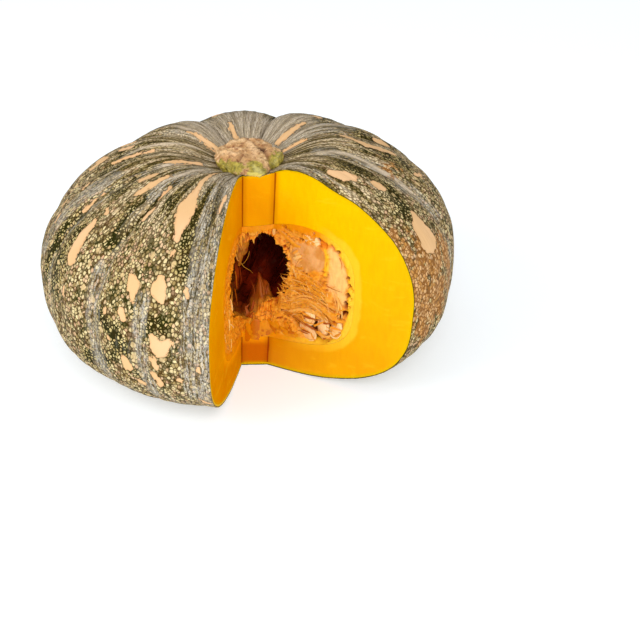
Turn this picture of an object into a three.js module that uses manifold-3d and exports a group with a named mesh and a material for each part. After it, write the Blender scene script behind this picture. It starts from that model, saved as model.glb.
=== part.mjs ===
// Kabocha squash, ripe, with one wedge cut out of its front.
//
// A squat ribbed fruit, sitting on its blossom end. Units are millimetres and +Z is up. The growth
// axis is vertical. Azimuth is measured in degrees from the front (-Y) toward the right (+X), and a
// section through the axis is described by its radius r and its height z.
//
// The pieces are the rind, the flesh under it, the corky stem, the stringy pulp that lines the
// seed cavity, and the flat seeds that lie in the pulp.

import * as THREE from 'three';
import { mergeVertices } from 'three/addons/utils/BufferGeometryUtils.js';
import Module from 'manifold-3d';

const wasm = await Module();
wasm.setup();

// ---------------------------------------------------------------- driving dimensions

const BODY = {
  radius: 122.2, // at the widest girth, over the rib crests, from front to back
  sideStretch: 1.012, // the fruit is a little wider from side to side,
  sideSwell: 1.4, // swells a little more on its left,
  lean: 0.025, // and its shoulder is a little higher on its right
  girthHeight: 59,
  height: 137.2, // of the shoulder curve before the stem end sinks into it
  shoulderBulge: 1.85,
  shoulderRise: 2.15,
  stemSink: 22.8,
  stemSinkRadius: 34.8,
  footInner: 28, // the flat ring that the fruit rests on
  footOuter: 43,
  footBulge: 2.15,
  footRise: 3.2,
  blossomDimple: 3.7,
};

// Furrows between the ribs: azimuth and greatest depth.
const FURROWS = [
  [-153, 5.8], [-125, 4.8], [-95, 3.8], [-68.6, 3.8], [-42.6, 4.4], [-12.6, 4.2], [17, 2.0],
  [47, 3.6], [79, 4.6], [112, 2.6], [133, 3.4], [166, 7.0],
];
const FURROW_SHARPNESS = 0.62; // below 1 the furrow is narrow and the rib is broad

const RIND_THICKNESS = 1.6;
const GAP = 0.3; // between neighbouring pieces

const CAVITY = {
  radius: 83.5,
  middleHeight: 57,
  rise: 41.5,
  drop: 38.5,
  squarenessAbove: 3.1,
  squarenessBelow: 4,
  coreDip: 18, // the flesh hangs lower round the axis
  coreRadius: 34,
};

// The knife's three cuts. Each is the upright or nearly upright plane
// x cos(angle) + y sin(angle) = offset + lean * z.
const CUTS = {
  left: { angle: -9.0, offset: -1.35, lean: 0.0356 },
  back: { angle: 90, offset: -34.7, lean: 0.0574 },
  right: { angle: 60.6, offset: -26.0, lean: 0.0847 },
};
const CUT_BOTTOM = -20;
const CUT_TOP = 170;
const CUT_REACH = 260;

const STEM = {
  radius: 20,
  lobes: 5,
  lobeDepth: 0.1,
  rimHeight: 121.5,
  crownHeight: 125.5,
  rootHeight: 108,
  slicePoint: [7, -12, 122.2], // the knife also shaved the front right lobe
  sliceNormal: [0.42, -0.62, 0.86],
};

const VOID = {
  centre: [-12, -4, 59],
  radii: [46, 54, 31],
  folds: 7,
  foldDepth: 0.09,
};

const PULP_SETBACK = 2.2; // the pulp shrinks back a little from the cut faces

const SEED = {
  length: 15,
  width: 8.6,
  thickness: 3,
  sides: 8,
  bands: 5,
};

// Seeds that show on the right cut face: how far along it, how high, and their turn in degrees.
const FACE_SEEDS = [[51, 39, 18], [60.6, 32.4, 4], [50.2, 28, 76], [70, 35, 8], [52, 86, 66]];
const WALL_SEEDS = 9;

// How finely the surfaces are stepped. The rib steps are closer beside the furrows.
const RIB_STEPS = [0, 0.11, 0.33, 0.67, 0.89];
const FOOT_ROWS = 3;
const LOWER_ROWS = 6;
const UPPER_ROWS = 9;
const CAVITY_COLUMNS = 32;
const CAVITY_ROWS = 13;

const radians = THREE.MathUtils.degToRad;

// A small repeatable generator, so that every build grows the same strands.
function repeatableRandom(seed) {
  let state = seed;
  return (low, high) => {
    state = (Math.imul(state, 1664525) + 1013904223) >>> 0;
    return low + (high - low) * (state / 4294967296);
  };
}

// ---------------------------------------------------------------- solids and meshes

function solidOf(geometry) {
  const bare = geometry.clone();
  bare.deleteAttribute('normal');
  bare.deleteAttribute('uv');
  const welded = mergeVertices(bare, 1e-4);
  return new wasm.Manifold(new wasm.Mesh({
    numProp: 3,
    vertProperties: Float32Array.from(welded.attributes.position.array),
    triVerts: Uint32Array.from(welded.index.array),
  }));
}

// A cut can leave loose scraps: the largest piece is the one that is kept.
function largestPiece(solid) {
  const pieces = solid.decompose();
  return pieces.reduce((best, piece) => (piece.volume() > best.volume() ? piece : best));
}

function geometryOf(solid) {
  const mesh = largestPiece(solid).getMesh();
  const geometry = new THREE.BufferGeometry();
  geometry.setAttribute('position', new THREE.Float32BufferAttribute(mesh.vertProperties, 3));
  geometry.setIndex(Array.from(mesh.triVerts));
  geometry.computeVertexNormals();
  return geometry;
}

// A closed ball whose every point is moved by `place`, which is given its azimuth, its row
// counted up from the lowest point, and its place on the unit ball.
function formedBall(columns, rows, place) {
  const ball = new THREE.SphereGeometry(1, columns, rows).rotateX(Math.PI / 2);
  const { position, uv } = ball.attributes;
  const unit = new THREE.Vector3();
  for (let i = 0; i < position.count; i += 1) {
    unit.fromBufferAttribute(position, i);
    const column = Math.round(uv.getX(i) * columns + columns) % columns;
    const row = Math.round(uv.getY(i) * rows);
    const point = place(column, row, unit);
    position.setXYZ(i, point.x, point.y, point.z);
  }
  return ball;
}

function atAzimuth(azimuth, radius, height) {
  const turn = radians(azimuth);
  return new THREE.Vector3(radius * Math.sin(turn), -radius * Math.cos(turn), height);
}

// ---------------------------------------------------------------- the body's outside

// The section of the outside over the rib crests, from the blossom end up to the stem end, with
// the share of a furrow's full depth that is reached at each point.
function bodySection() {
  const section = [];
  for (let i = 0; i < FOOT_ROWS; i += 1) {
    const radius = (BODY.footInner * i) / (FOOT_ROWS - 1);
    const height = BODY.blossomDimple * Math.cos((Math.PI / 2) * (radius / BODY.footInner)) ** 2;
    section.push({ radius, height, relief: 0 });
  }
  for (let i = 0; i <= LOWER_ROWS; i += 1) {
    const rise = i / LOWER_ROWS;
    const turn = (Math.PI / 2) * rise;
    section.push({
      radius: BODY.footOuter + (BODY.radius - BODY.footOuter) * Math.sin(turn) ** (2 / BODY.footBulge),
      height: BODY.girthHeight * (1 - Math.cos(turn) ** (2 / BODY.footRise)),
      relief: 0.62 * rise ** 1.6,
    });
  }
  for (let i = 1; i <= UPPER_ROWS; i += 1) {
    const rise = i / UPPER_ROWS;
    const turn = (Math.PI / 2) * rise;
    const radius = i < UPPER_ROWS ? BODY.radius * Math.cos(turn) ** (2 / BODY.shoulderBulge) : 0;
    const sink = BODY.stemSink * Math.exp(-((radius / BODY.stemSinkRadius) ** 2));
    const climb = (BODY.height - BODY.girthHeight) * Math.sin(turn) ** (2 / BODY.shoulderRise);
    section.push({
      radius,
      height: BODY.girthHeight + climb - sink,
      relief: (0.62 + 0.38 * Math.sin(Math.PI * Math.min(rise * 0.8, 1))) * (1 - rise ** 5),
    });
  }
  section.forEach((point, i) => {
    const before = section[Math.max(i - 1, 0)];
    const after = section[Math.min(i + 1, section.length - 1)];
    const along = new THREE.Vector2(after.radius - before.radius, after.height - before.height);
    point.out = new THREE.Vector2(along.y, -along.x).normalize();
    if (i < FOOT_ROWS + 1) point.out.set(0, -1);
    if (point.radius === 0 && i > 0) point.out.set(0, 1);
  });
  return section;
}

// The columns of the outside: for each, its azimuth and the furrow depth there.
function bodyColumns() {
  const columns = [];
  FURROWS.forEach(([azimuth, depth], i) => {
    const next = FURROWS[(i + 1) % FURROWS.length];
    const width = (next[0] - azimuth + 360) % 360;
    for (const share of RIB_STEPS) {
      const fullDepth = THREE.MathUtils.lerp(depth, next[1], share);
      const fall = 1 - Math.sin(Math.PI * share) ** FURROW_SHARPNESS;
      columns.push({ azimuth: azimuth + width * share, fall: fullDepth * fall });
    }
  });
  return columns;
}

const SECTION = bodySection();
const COLUMNS = bodyColumns();

// The body's outside, or a surface that lies `inset` below it.
function bodySurface(inset) {
  return formedBall(COLUMNS.length, SECTION.length - 1, (column, row) => {
    const { azimuth, fall } = COLUMNS[column];
    const { radius, height, relief, out } = SECTION[row];
    const depth = inset + relief * fall;
    const point = atAzimuth(azimuth, radius - out.x * depth, height - out.y * depth);
    point.z *= 1 + (BODY.lean * point.x) / BODY.height;
    point.x = point.x * BODY.sideStretch - BODY.sideSwell * (radius / BODY.radius);
    return point;
  });
}

// ---------------------------------------------------------------- the wedge that is cut out

function meetingOf(first, second, height) {
  const [a, b] = [first, second].map(({ angle, offset, lean }) => ({
    x: Math.cos(radians(angle)),
    y: Math.sin(radians(angle)),
    reach: offset + lean * height,
  }));
  const scale = a.x * b.y - b.x * a.y;
  return {
    x: (a.reach * b.y - b.reach * a.y) / scale,
    y: (a.x * b.reach - b.x * a.reach) / scale,
  };
}

// The wedge as a solid; `growth` moves each of its three faces outward into the fruit.
function wedge(growth) {
  const left = { ...CUTS.left, offset: CUTS.left.offset - growth };
  const back = { ...CUTS.back, offset: CUTS.back.offset + growth };
  const right = { ...CUTS.right, offset: CUTS.right.offset + growth };
  const front = { angle: 90, offset: -CUT_REACH, lean: 0 };
  const box = new THREE.BoxGeometry(1, 1, 1);
  const { position } = box.attributes;
  for (let i = 0; i < position.count; i += 1) {
    const side = position.getX(i) < 0 ? left : right;
    const end = position.getY(i) < 0 ? front : back;
    const height = position.getZ(i) < 0 ? CUT_BOTTOM : CUT_TOP;
    const corner = meetingOf(side, end, height);
    position.setXYZ(i, corner.x, corner.y, height);
  }
  return solidOf(box);
}

// A point on the right cut face: `along` it from the axis, at a height, and `behind` it.
function onRightCut(along, height, behind) {
  const { angle, offset, lean } = CUTS.right;
  const turn = radians(angle);
  const reach = offset + lean * height + behind;
  return new THREE.Vector3(
    reach * Math.cos(turn) + along * Math.sin(turn),
    reach * Math.sin(turn) - along * Math.cos(turn),
    height,
  );
}

// ---------------------------------------------------------------- rind and flesh

function makeRind() {
  const outside = solidOf(bodySurface(0));
  const inside = solidOf(bodySurface(RIND_THICKNESS));
  return geometryOf(outside.subtract(inside).subtract(wedge(0)));
}

// The wall of the seed cavity, or a surface that lies `inset` within it.
function cavitySurface(inset) {
  return formedBall(CAVITY_COLUMNS, CAVITY_ROWS, (column, row, unit) => {
    const bulge = 2 / (unit.z > 0 ? CAVITY.squarenessAbove : CAVITY.squarenessBelow);
    const level = Math.hypot(unit.x, unit.y);
    const radius = (CAVITY.radius - inset) * level ** bulge;
    const halfHeight = (unit.z > 0 ? CAVITY.rise : CAVITY.drop) - inset;
    const core = unit.z > 0 ? CAVITY.coreDip * Math.exp(-((radius / CAVITY.coreRadius) ** 2)) : 0;
    const height = CAVITY.middleHeight + Math.sign(unit.z) * halfHeight * Math.abs(unit.z) ** bulge - core;
    const spread = level > 0 ? radius / level : 0;
    return new THREE.Vector3(unit.x * spread, unit.y * spread, height);
  });
}

function makeFlesh() {
  const inside = solidOf(bodySurface(RIND_THICKNESS + GAP));
  return geometryOf(inside.subtract(solidOf(cavitySurface(0))).subtract(wedge(0)));
}

// ---------------------------------------------------------------- stem

function makeStem() {
  const rows = [
    [0, STEM.rootHeight],
    [0.8, STEM.rootHeight],
    [0.97, STEM.rimHeight - 4],
    [1, STEM.rimHeight],
    [0.9, STEM.rimHeight + 1.8],
    [0.62, STEM.crownHeight],
    [0.3, STEM.crownHeight - 0.4],
    [0, STEM.crownHeight - 1.6],
  ];
  const columns = STEM.lobes * 4;
  const block = formedBall(columns, rows.length - 1, (column, row) => {
    const azimuth = (360 * column) / columns;
    const [share, height] = rows[row];
    const lobe = 1 + STEM.lobeDepth * Math.cos(radians(STEM.lobes * azimuth - 130));
    const rough = row > 3 && share > 0 ? 0.6 * Math.sin(2.3 * column + 1.7 * row) : 0;
    return atAzimuth(azimuth, share * STEM.radius * lobe, height + rough);
  });
  const body = solidOf(bodySurface(0).translate(0, 0, GAP));
  const waste = new THREE.BoxGeometry(60, 60, 60).translate(0, 0, 30);
  waste.lookAt(new THREE.Vector3(...STEM.sliceNormal));
  waste.translate(...STEM.slicePoint);
  return geometryOf(solidOf(block).subtract(body).subtract(wedge(0)).subtract(solidOf(waste)));
}

// ---------------------------------------------------------------- pulp

// A point on the wall of the open space in the pulp, in the direction of a unit vector. Folds run
// down the wall from stem end to blossom end. `beyond` scales the point away from the middle.
function voidPoint(unit, beyond = 1) {
  const azimuth = Math.atan2(unit.x, -unit.y);
  const level = Math.hypot(unit.x, unit.y);
  const fold = Math.sin(VOID.folds * azimuth + 1.4 * unit.z) + 0.5 * Math.sin(13 * azimuth - 3 * unit.z);
  const swell = beyond * (1 + VOID.foldDepth * level * fold);
  return new THREE.Vector3(
    VOID.centre[0] + VOID.radii[0] * swell * unit.x,
    VOID.centre[1] + VOID.radii[1] * swell * unit.y,
    VOID.centre[2] + VOID.radii[2] * swell * unit.z,
  );
}

// A unit vector with the given azimuth in degrees and the given rise.
function unitToward(azimuth, rise) {
  return atAzimuth(azimuth, Math.sqrt(1 - rise * rise), rise);
}

// A strand is a four-sided rod that tapers a little and is bent along a curve.
function strand(points, radius) {
  const curve = new THREE.CatmullRomCurve3(points);
  const rod = new THREE.CylinderGeometry(0.6, 1, 1, 4, 5);
  const { position } = rod.attributes;
  const up = new THREE.Vector3(0, 0, 1);
  for (let i = 0; i < position.count; i += 1) {
    const share = position.getY(i) + 0.5;
    const centre = curve.getPoint(share);
    const along = curve.getTangent(share);
    const side = new THREE.Vector3().crossVectors(up, along).normalize();
    const over = new THREE.Vector3().crossVectors(along, side);
    centre.addScaledVector(over, radius * position.getX(i));
    centre.addScaledVector(side, radius * position.getZ(i));
    position.setXYZ(i, centre.x, centre.y, centre.z);
  }
  return solidOf(rod);
}

// Strands that fan across the right cut face, from the cavity wall in to the edge of the void.
function faceStrands() {
  const random = repeatableRandom(21);
  const strands = [];
  for (let i = 0; i < 17; i += 1) {
    const tilt = radians(-64 + 7 * i);
    const behind = PULP_SETBACK + random(-0.2, 0.5);
    const outer = onRightCut(47 + 31 * Math.cos(tilt), 56 + 29 * Math.sin(tilt), behind + 0.6);
    const middle = onRightCut(random(50, 58), 55 + random(12, 20) * Math.sin(tilt), behind);
    const inner = onRightCut(random(27, 38), 57 + random(12, 22) * Math.sin(tilt), behind + random(0.5, 3));
    strands.push(strand([outer, middle, inner], random(1.2, 1.9)));
  }
  return strands;
}

// Strands that hang in front of the wall of the open space, from its roof to its floor.
function hangingStrands() {
  const random = repeatableRandom(8);
  const strands = [];
  for (let i = 0; i < 14; i += 1) {
    const azimuth = 75 + 19 * i + random(-6, 6);
    const roof = voidPoint(unitToward(azimuth, random(0.5, 0.8)), 1.06);
    const middle = voidPoint(unitToward(azimuth + random(-12, 12), random(-0.3, 0.3)), random(0.72, 0.9));
    const floor = voidPoint(unitToward(azimuth + random(-14, 14), random(-0.8, -0.5)), 1.06);
    strands.push(strand([roof, middle, floor], random(1.2, 2)));
  }
  return strands;
}

// Torn ends that stand up along the lower lip of the opening.
function tornEnds() {
  const random = repeatableRandom(33);
  const strands = [];
  for (let i = 0; i < 8; i += 1) {
    const x = -6 + 4 * i;
    const root = new THREE.Vector3(x, random(-26, -22), 29);
    const bend = new THREE.Vector3(x + random(-3, 3), random(-28, -25), random(38, 41));
    const tip = new THREE.Vector3(x + random(-6, 6), random(-28, -22), random(44, 52));
    strands.push(strand([root, bend, tip], random(1.8, 2.6)));
  }
  return strands;
}

// Thin sheets of pulp skin that lie flat behind the right cut face.
function sheets() {
  return [[51, 73, 11, 10], [67, 65, 8, 17], [54, 49, 14, 6]].map(([along, height, reach, rise]) => {
    const sheet = new THREE.SphereGeometry(1, 12, 6).scale(reach, 1.5, rise);
    sheet.rotateZ(radians(CUTS.right.angle - 90));
    const place = onRightCut(along, height, PULP_SETBACK + 0.3);
    return solidOf(sheet.translate(place.x, place.y, place.z));
  });
}

// ---------------------------------------------------------------- seeds

function seedShape(margin) {
  const half = [SEED.length / 2 + margin, SEED.width / 2 + margin, SEED.thickness / 2 + margin];
  return formedBall(SEED.sides, SEED.bands, (column, row, unit) => new THREE.Vector3(
    half[0] * unit.x,
    half[1] * unit.y * (1 - 0.3 * unit.x),
    half[2] * unit.z,
  ));
}

// Each seed's place, the way its flat side faces, and its turn in that plane.
function seedPlaces() {
  const random = repeatableRandom(12);
  const places = [];
  const cutFacing = onRightCut(0, 0, -1).sub(onRightCut(0, 0, 0));
  for (const [along, height, turn] of FACE_SEEDS) {
    const facing = cutFacing.clone().add(new THREE.Vector3(random(-0.3, 0.3), 0, random(0, 0.5)));
    places.push({ centre: onRightCut(along, height, PULP_SETBACK), facing, turn });
  }
  for (let i = 0; i < WALL_SEEDS; i += 1) {
    const unit = unitToward(100 + 27 * i, random(-0.6, -0.1));
    const slope = VOID.radii.map((radius, axis) => -unit.getComponent(axis) / radius);
    const facing = new THREE.Vector3(...slope);
    places.push({ centre: voidPoint(unit, 0.99), facing, turn: random(30, 150) });
  }
  return places;
}

function placeSeed(geometry, { centre, facing, turn }) {
  geometry.rotateZ(radians(turn));
  geometry.lookAt(facing);
  return geometry.translate(centre.x, centre.y, centre.z);
}

// Small hollows along the edge of the right cut face, where seeds have dropped out.
function emptyHollows() {
  const hollows = [];
  for (let i = 0; i < 7; i += 1) {
    const turn = radians(-44 + 16 * i);
    const place = onRightCut(47 + 29.5 * Math.cos(turn), 57 + 27 * Math.sin(turn), PULP_SETBACK);
    const hollow = new THREE.SphereGeometry(1, 6, 4).scale(2.6, 2.6, 1.5);
    hollows.push(solidOf(hollow.translate(place.x, place.y, place.z)));
  }
  return hollows;
}

function makePulp(seeds) {
  const openSpace = solidOf(formedBall(28, 12, (column, row, unit) => voidPoint(unit)));
  let pulp = solidOf(cavitySurface(GAP)).subtract(openSpace).subtract(wedge(PULP_SETBACK));
  for (const piece of [...faceStrands(), ...hangingStrands(), ...tornEnds(), ...sheets()]) {
    pulp = pulp.add(piece);
  }
  pulp = pulp.intersect(solidOf(cavitySurface(GAP))).subtract(wedge(GAP));
  for (const hollow of emptyHollows()) pulp = pulp.subtract(hollow);
  for (const place of seeds) pulp = pulp.subtract(solidOf(placeSeed(seedShape(GAP), place)));
  return geometryOf(pulp);
}

// ---------------------------------------------------------------- the squash

const FINISHES = {
  rind: { color: 0x767b58, roughness: 0.62, metalness: 0 },
  flesh: { color: 0xf7ae07, roughness: 0.42, metalness: 0 },
  stem: { color: 0xb48a52, roughness: 0.85, metalness: 0 },
  pulp: { color: 0xe98a1c, roughness: 0.5, metalness: 0 },
  seed: { color: 0xf3d9a4, roughness: 0.4, metalness: 0 },
};

function meshOf(name, geometry, finish) {
  const mesh = new THREE.Mesh(geometry, new THREE.MeshStandardMaterial(FINISHES[finish]));
  mesh.name = name;
  return mesh;
}

const squash = new THREE.Group();
const seeds = seedPlaces();
squash.add(meshOf('rind', makeRind(), 'rind'));
squash.add(meshOf('flesh', makeFlesh(), 'flesh'));
squash.add(meshOf('stem', makeStem(), 'stem'));
squash.add(meshOf('pulp', makePulp(seeds), 'pulp'));
seeds.forEach((place, i) => {
  const name = `seed_${String(i + 1).padStart(2, '0')}`;
  squash.add(meshOf(name, placeSeed(seedShape(0), place), 'seed'));
});

// The origin is the middle of the space that the squash takes up, at the surface it rests on.
const reach = new THREE.Box3().setFromObject(squash);
squash.position.set(-(reach.min.x + reach.max.x) / 2, -(reach.min.y + reach.max.y) / 2, -reach.min.z);

export default squash;
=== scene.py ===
import math

import bpy
import numpy as np
from bpy.props import FloatProperty, FloatVectorProperty, IntProperty, PointerProperty
from mathutils import Matrix, Vector, noise
from mathutils.bvhtree import BVHTree


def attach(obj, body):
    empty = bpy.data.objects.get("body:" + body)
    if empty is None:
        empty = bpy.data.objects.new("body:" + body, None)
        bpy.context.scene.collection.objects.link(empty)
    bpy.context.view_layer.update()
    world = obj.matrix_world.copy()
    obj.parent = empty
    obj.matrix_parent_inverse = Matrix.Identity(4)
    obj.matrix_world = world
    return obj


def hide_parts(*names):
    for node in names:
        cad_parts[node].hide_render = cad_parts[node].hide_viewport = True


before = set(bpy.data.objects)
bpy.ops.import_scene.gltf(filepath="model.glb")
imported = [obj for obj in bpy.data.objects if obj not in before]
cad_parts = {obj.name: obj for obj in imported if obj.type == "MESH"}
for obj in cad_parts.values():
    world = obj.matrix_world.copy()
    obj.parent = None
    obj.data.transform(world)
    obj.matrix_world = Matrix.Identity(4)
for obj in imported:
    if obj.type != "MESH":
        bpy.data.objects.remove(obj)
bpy.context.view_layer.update()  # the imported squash, whose nodes the finished pieces stand for

bl_info = {
    "name": "Cut Kabocha Squash",
    "version": (1, 0, 0),
    "blender": (4, 5, 0),
    "location": "View3D > Sidebar > Squash",
    "description": "A ribbed kabocha squash with a wedge cut out of its front",
    "category": "Add Mesh",
}

# ---------------------------------------------------------------- the shape of the fruit
# Lengths are metres. Azimuth is in degrees from the front (-Y) toward the right (+X). Arc is the
# length along the outside from the blossom end, underneath, up to the middle of the stem end.

GROWTH_AXIS = np.array([0.0012745, -0.000947, 0.0])
GIRTH_RADIUS = 0.1222
GIRTH_HEIGHT = 0.059
SIDE_STRETCH = 1.012
SIDE_SWELL = 0.0014
LEAN = 0.025
SHOULDER_HEIGHT = 0.1372
SHOULDER_BULGE = 1.85
SHOULDER_RISE = 2.15
STEM_SINK = 0.0228
STEM_SINK_RADIUS = 0.0348
FOOT_INNER = 0.028
FOOT_OUTER = 0.043
FOOT_BULGE = 2.15
FOOT_RISE = 3.2
BLOSSOM_DIMPLE = 0.0037

# Furrows between the ribs: azimuth and greatest depth.
FURROWS = [
    (-153, 0.0058), (-125, 0.0048), (-95, 0.0038), (-68.6, 0.0038), (-42.6, 0.0044), (-12.6, 0.0042),
    (17, 0.0020), (47, 0.0036), (79, 0.0046), (112, 0.0026), (133, 0.0034), (166, 0.0070),
]
FURROW_SHARPNESS = 0.62

CAVITY_RADIUS = 0.0835
CAVITY_HEIGHT = 0.057
CAVITY_RISE = 0.0415
CAVITY_DROP = 0.0385
CAVITY_SQUARENESS = (3.1, 4.0)  # above and below its middle
CORE_DIP = 0.018
CORE_RADIUS = 0.034

# The knife's cuts: x cos(angle) + y sin(angle) = offset + lean * z.
CUTS = {
    "left": (-9.0, -0.00135, 0.0356),
    "back": (90.0, -0.0347, 0.0574),
    "right": (60.6, -0.0260, 0.0847),
}
MOUTH_ANGLE = 115.0  # the open end of the wedge, beyond the skin
CUT_REACH = 0.131
CUT_BOTTOM = -0.004
CUT_TOP = 0.136

VOID_CENTRE = np.array([-0.012, -0.004, 0.059])
VOID_RADII = np.array([0.046, 0.054, 0.031])

# The smooth skin lies a little under the curve of the section, so that it stays within the box of the
# faceted solid: arc, and how far under.
SKIN_INSETS = [
    (0.0, 0.0), (0.05, 0.0), (0.13, 0.0004), (0.2, 0.0005), (0.24, 0.0012), (0.29, 0.0010), (0.32, 0.0004),
]

# Shallow grooves that run part of the way along a rib: azimuth, lowest and highest arc, depth and
# half width in degrees.
FINE_GROOVES = [
    (-27, 0.10, 0.19, 0.0011, 1.6), (-57, 0.08, 0.17, 0.0008, 1.8), (-33, 0.24, 0.295, 0.0008, 2.4),
    (-52, 0.10, 0.15, 0.0008, 1.5), (-82, 0.09, 0.20, 0.0010, 1.8), (62, 0.09, 0.16, 0.0009, 1.8),
    (95, 0.10, 0.20, 0.0010, 1.8), (122, 0.09, 0.24, 0.0009, 2.0), (149, 0.10, 0.22, 0.0012, 2.2),
    (188, 0.10, 0.24, 0.0012, 2.2), (-110, 0.09, 0.21, 0.0010, 2.0), (-139, 0.10, 0.22, 0.0010, 2.0),
]


def body_section():
    """The section over the rib crests as columns: arc, radius, height, relief and the way out."""
    foot = np.linspace(0, FOOT_INNER, 40)
    lower = np.linspace(0, 1, 1200)
    upper = np.linspace(0, 1, 1200)[1:]
    turn = lower * math.pi / 2
    lower_radius = FOOT_OUTER + (GIRTH_RADIUS - FOOT_OUTER) * np.sin(turn) ** (2 / FOOT_BULGE)
    lower_height = GIRTH_HEIGHT * (1 - np.maximum(np.cos(turn), 0) ** (2 / FOOT_RISE))
    turn = upper * math.pi / 2
    upper_radius = GIRTH_RADIUS * np.maximum(np.cos(turn), 0) ** (2 / SHOULDER_BULGE)
    sink = STEM_SINK * np.exp(-(upper_radius / STEM_SINK_RADIUS) ** 2)
    climb = (SHOULDER_HEIGHT - GIRTH_HEIGHT) * np.sin(turn) ** (2 / SHOULDER_RISE)
    radius = np.concatenate([foot, lower_radius, upper_radius])
    height = np.concatenate([
        BLOSSOM_DIMPLE * np.cos(math.pi / 2 * foot / FOOT_INNER) ** 2,
        lower_height,
        GIRTH_HEIGHT + climb - sink,
    ])
    relief = np.concatenate([
        0 * foot,
        0.62 * lower ** 1.6,
        (0.62 + 0.38 * np.sin(math.pi * np.minimum(upper * 0.8, 1))) * (1 - upper ** 5),
    ])
    steps = np.hypot(np.diff(radius), np.diff(height))
    arc = np.concatenate([[0], np.cumsum(steps)])
    even = np.linspace(0, arc[-1], 1600)
    radius, height, relief = (np.interp(even, arc, column) for column in (radius, height, relief))
    along_r, along_z = np.gradient(radius), np.gradient(height)
    length = np.hypot(along_r, along_z)
    out_r, out_z = along_z / length, -along_r / length
    foot_rows = even <= FOOT_OUTER
    out_r[foot_rows], out_z[foot_rows] = 0, -1
    out_r[-1], out_z[-1] = 0, 1
    return np.stack([even, radius, height, relief, out_r, out_z])


SECTION = body_section()
FULL_ARC = SECTION[0, -1]


def furrow_fall(azimuth):
    """How far the skin falls below the rib crests at each azimuth, at full relief."""
    starts = np.array([furrow[0] for furrow in FURROWS], float)
    depths = np.array([furrow[1] for furrow in FURROWS])
    turned = (azimuth - starts[0]) % 360
    index = np.searchsorted(starts - starts[0], turned, side="right") - 1
    width = (np.roll(starts, -1)[index] - starts[index]) % 360
    share = (turned - (starts[index] - starts[0])) / width
    depth = depths[index] + (np.roll(depths, -1)[index] - depths[index]) * share
    return depth * (1 - np.sin(math.pi * np.clip(share, 0, 1)) ** FURROW_SHARPNESS)


def body_points(azimuth, arc, inset):
    """Points on the outside of the fruit, or `inset` below it."""
    radius, height, relief, out_r, out_z = (np.interp(arc, SECTION[0], row) for row in SECTION[1:])
    depth = inset + relief * furrow_fall(azimuth)
    reach = radius - out_r * depth
    turn = np.radians(azimuth)
    x, y = reach * np.sin(turn), -reach * np.cos(turn)
    z = (height - out_z * depth) * (1 + LEAN * x / SHOULDER_HEIGHT)
    x = x * SIDE_STRETCH - SIDE_SWELL * radius / GIRTH_RADIUS
    return np.stack([x, y, z], 1) + GROWTH_AXIS


def unwrap(points):
    """Azimuth and arc of points at or under the skin."""
    x, y, z = (points - GROWTH_AXIS).T
    radius = np.hypot(x, y)
    for _ in range(3):
        bare_x = (x + SIDE_SWELL * radius / GIRTH_RADIUS) / SIDE_STRETCH
        radius = np.hypot(bare_x, y)
    z = z / (1 + LEAN * bare_x / SHOULDER_HEIGHT)
    azimuth = np.degrees(np.arctan2(bare_x, -y))
    arc = np.zeros(len(points))
    coarse = SECTION[:, ::2]
    for start in range(0, len(points), 4000):
        rows = slice(start, start + 4000)
        apart = np.hypot(radius[rows, None] - coarse[1], z[rows, None] - coarse[2])
        arc[rows] = coarse[0, apart.argmin(1)]
    return azimuth, arc


def cavity_points(unit, inset):
    """Points on the wall of the seed cavity, or `inset` within it, toward unit vectors."""
    above = unit[:, 2] > 0
    bulge = 2 / np.where(above, *CAVITY_SQUARENESS)
    level = np.maximum(np.hypot(unit[:, 0], unit[:, 1]), 1e-9)
    radius = (CAVITY_RADIUS - inset) * level ** bulge
    half_height = np.where(above, CAVITY_RISE, CAVITY_DROP) - inset
    core = np.where(above, CORE_DIP * np.exp(-(radius / CORE_RADIUS) ** 2), 0)
    z = CAVITY_HEIGHT + np.sign(unit[:, 2]) * half_height * np.abs(unit[:, 2]) ** bulge - core
    spread = radius / level
    return np.stack([unit[:, 0] * spread, unit[:, 1] * spread, z], 1) + GROWTH_AXIS


# ---------------------------------------------------------------- the marks on the skin
# A streak is a chain of points on the skin: azimuth, arc and half width. Its edge tapers between them.

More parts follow.
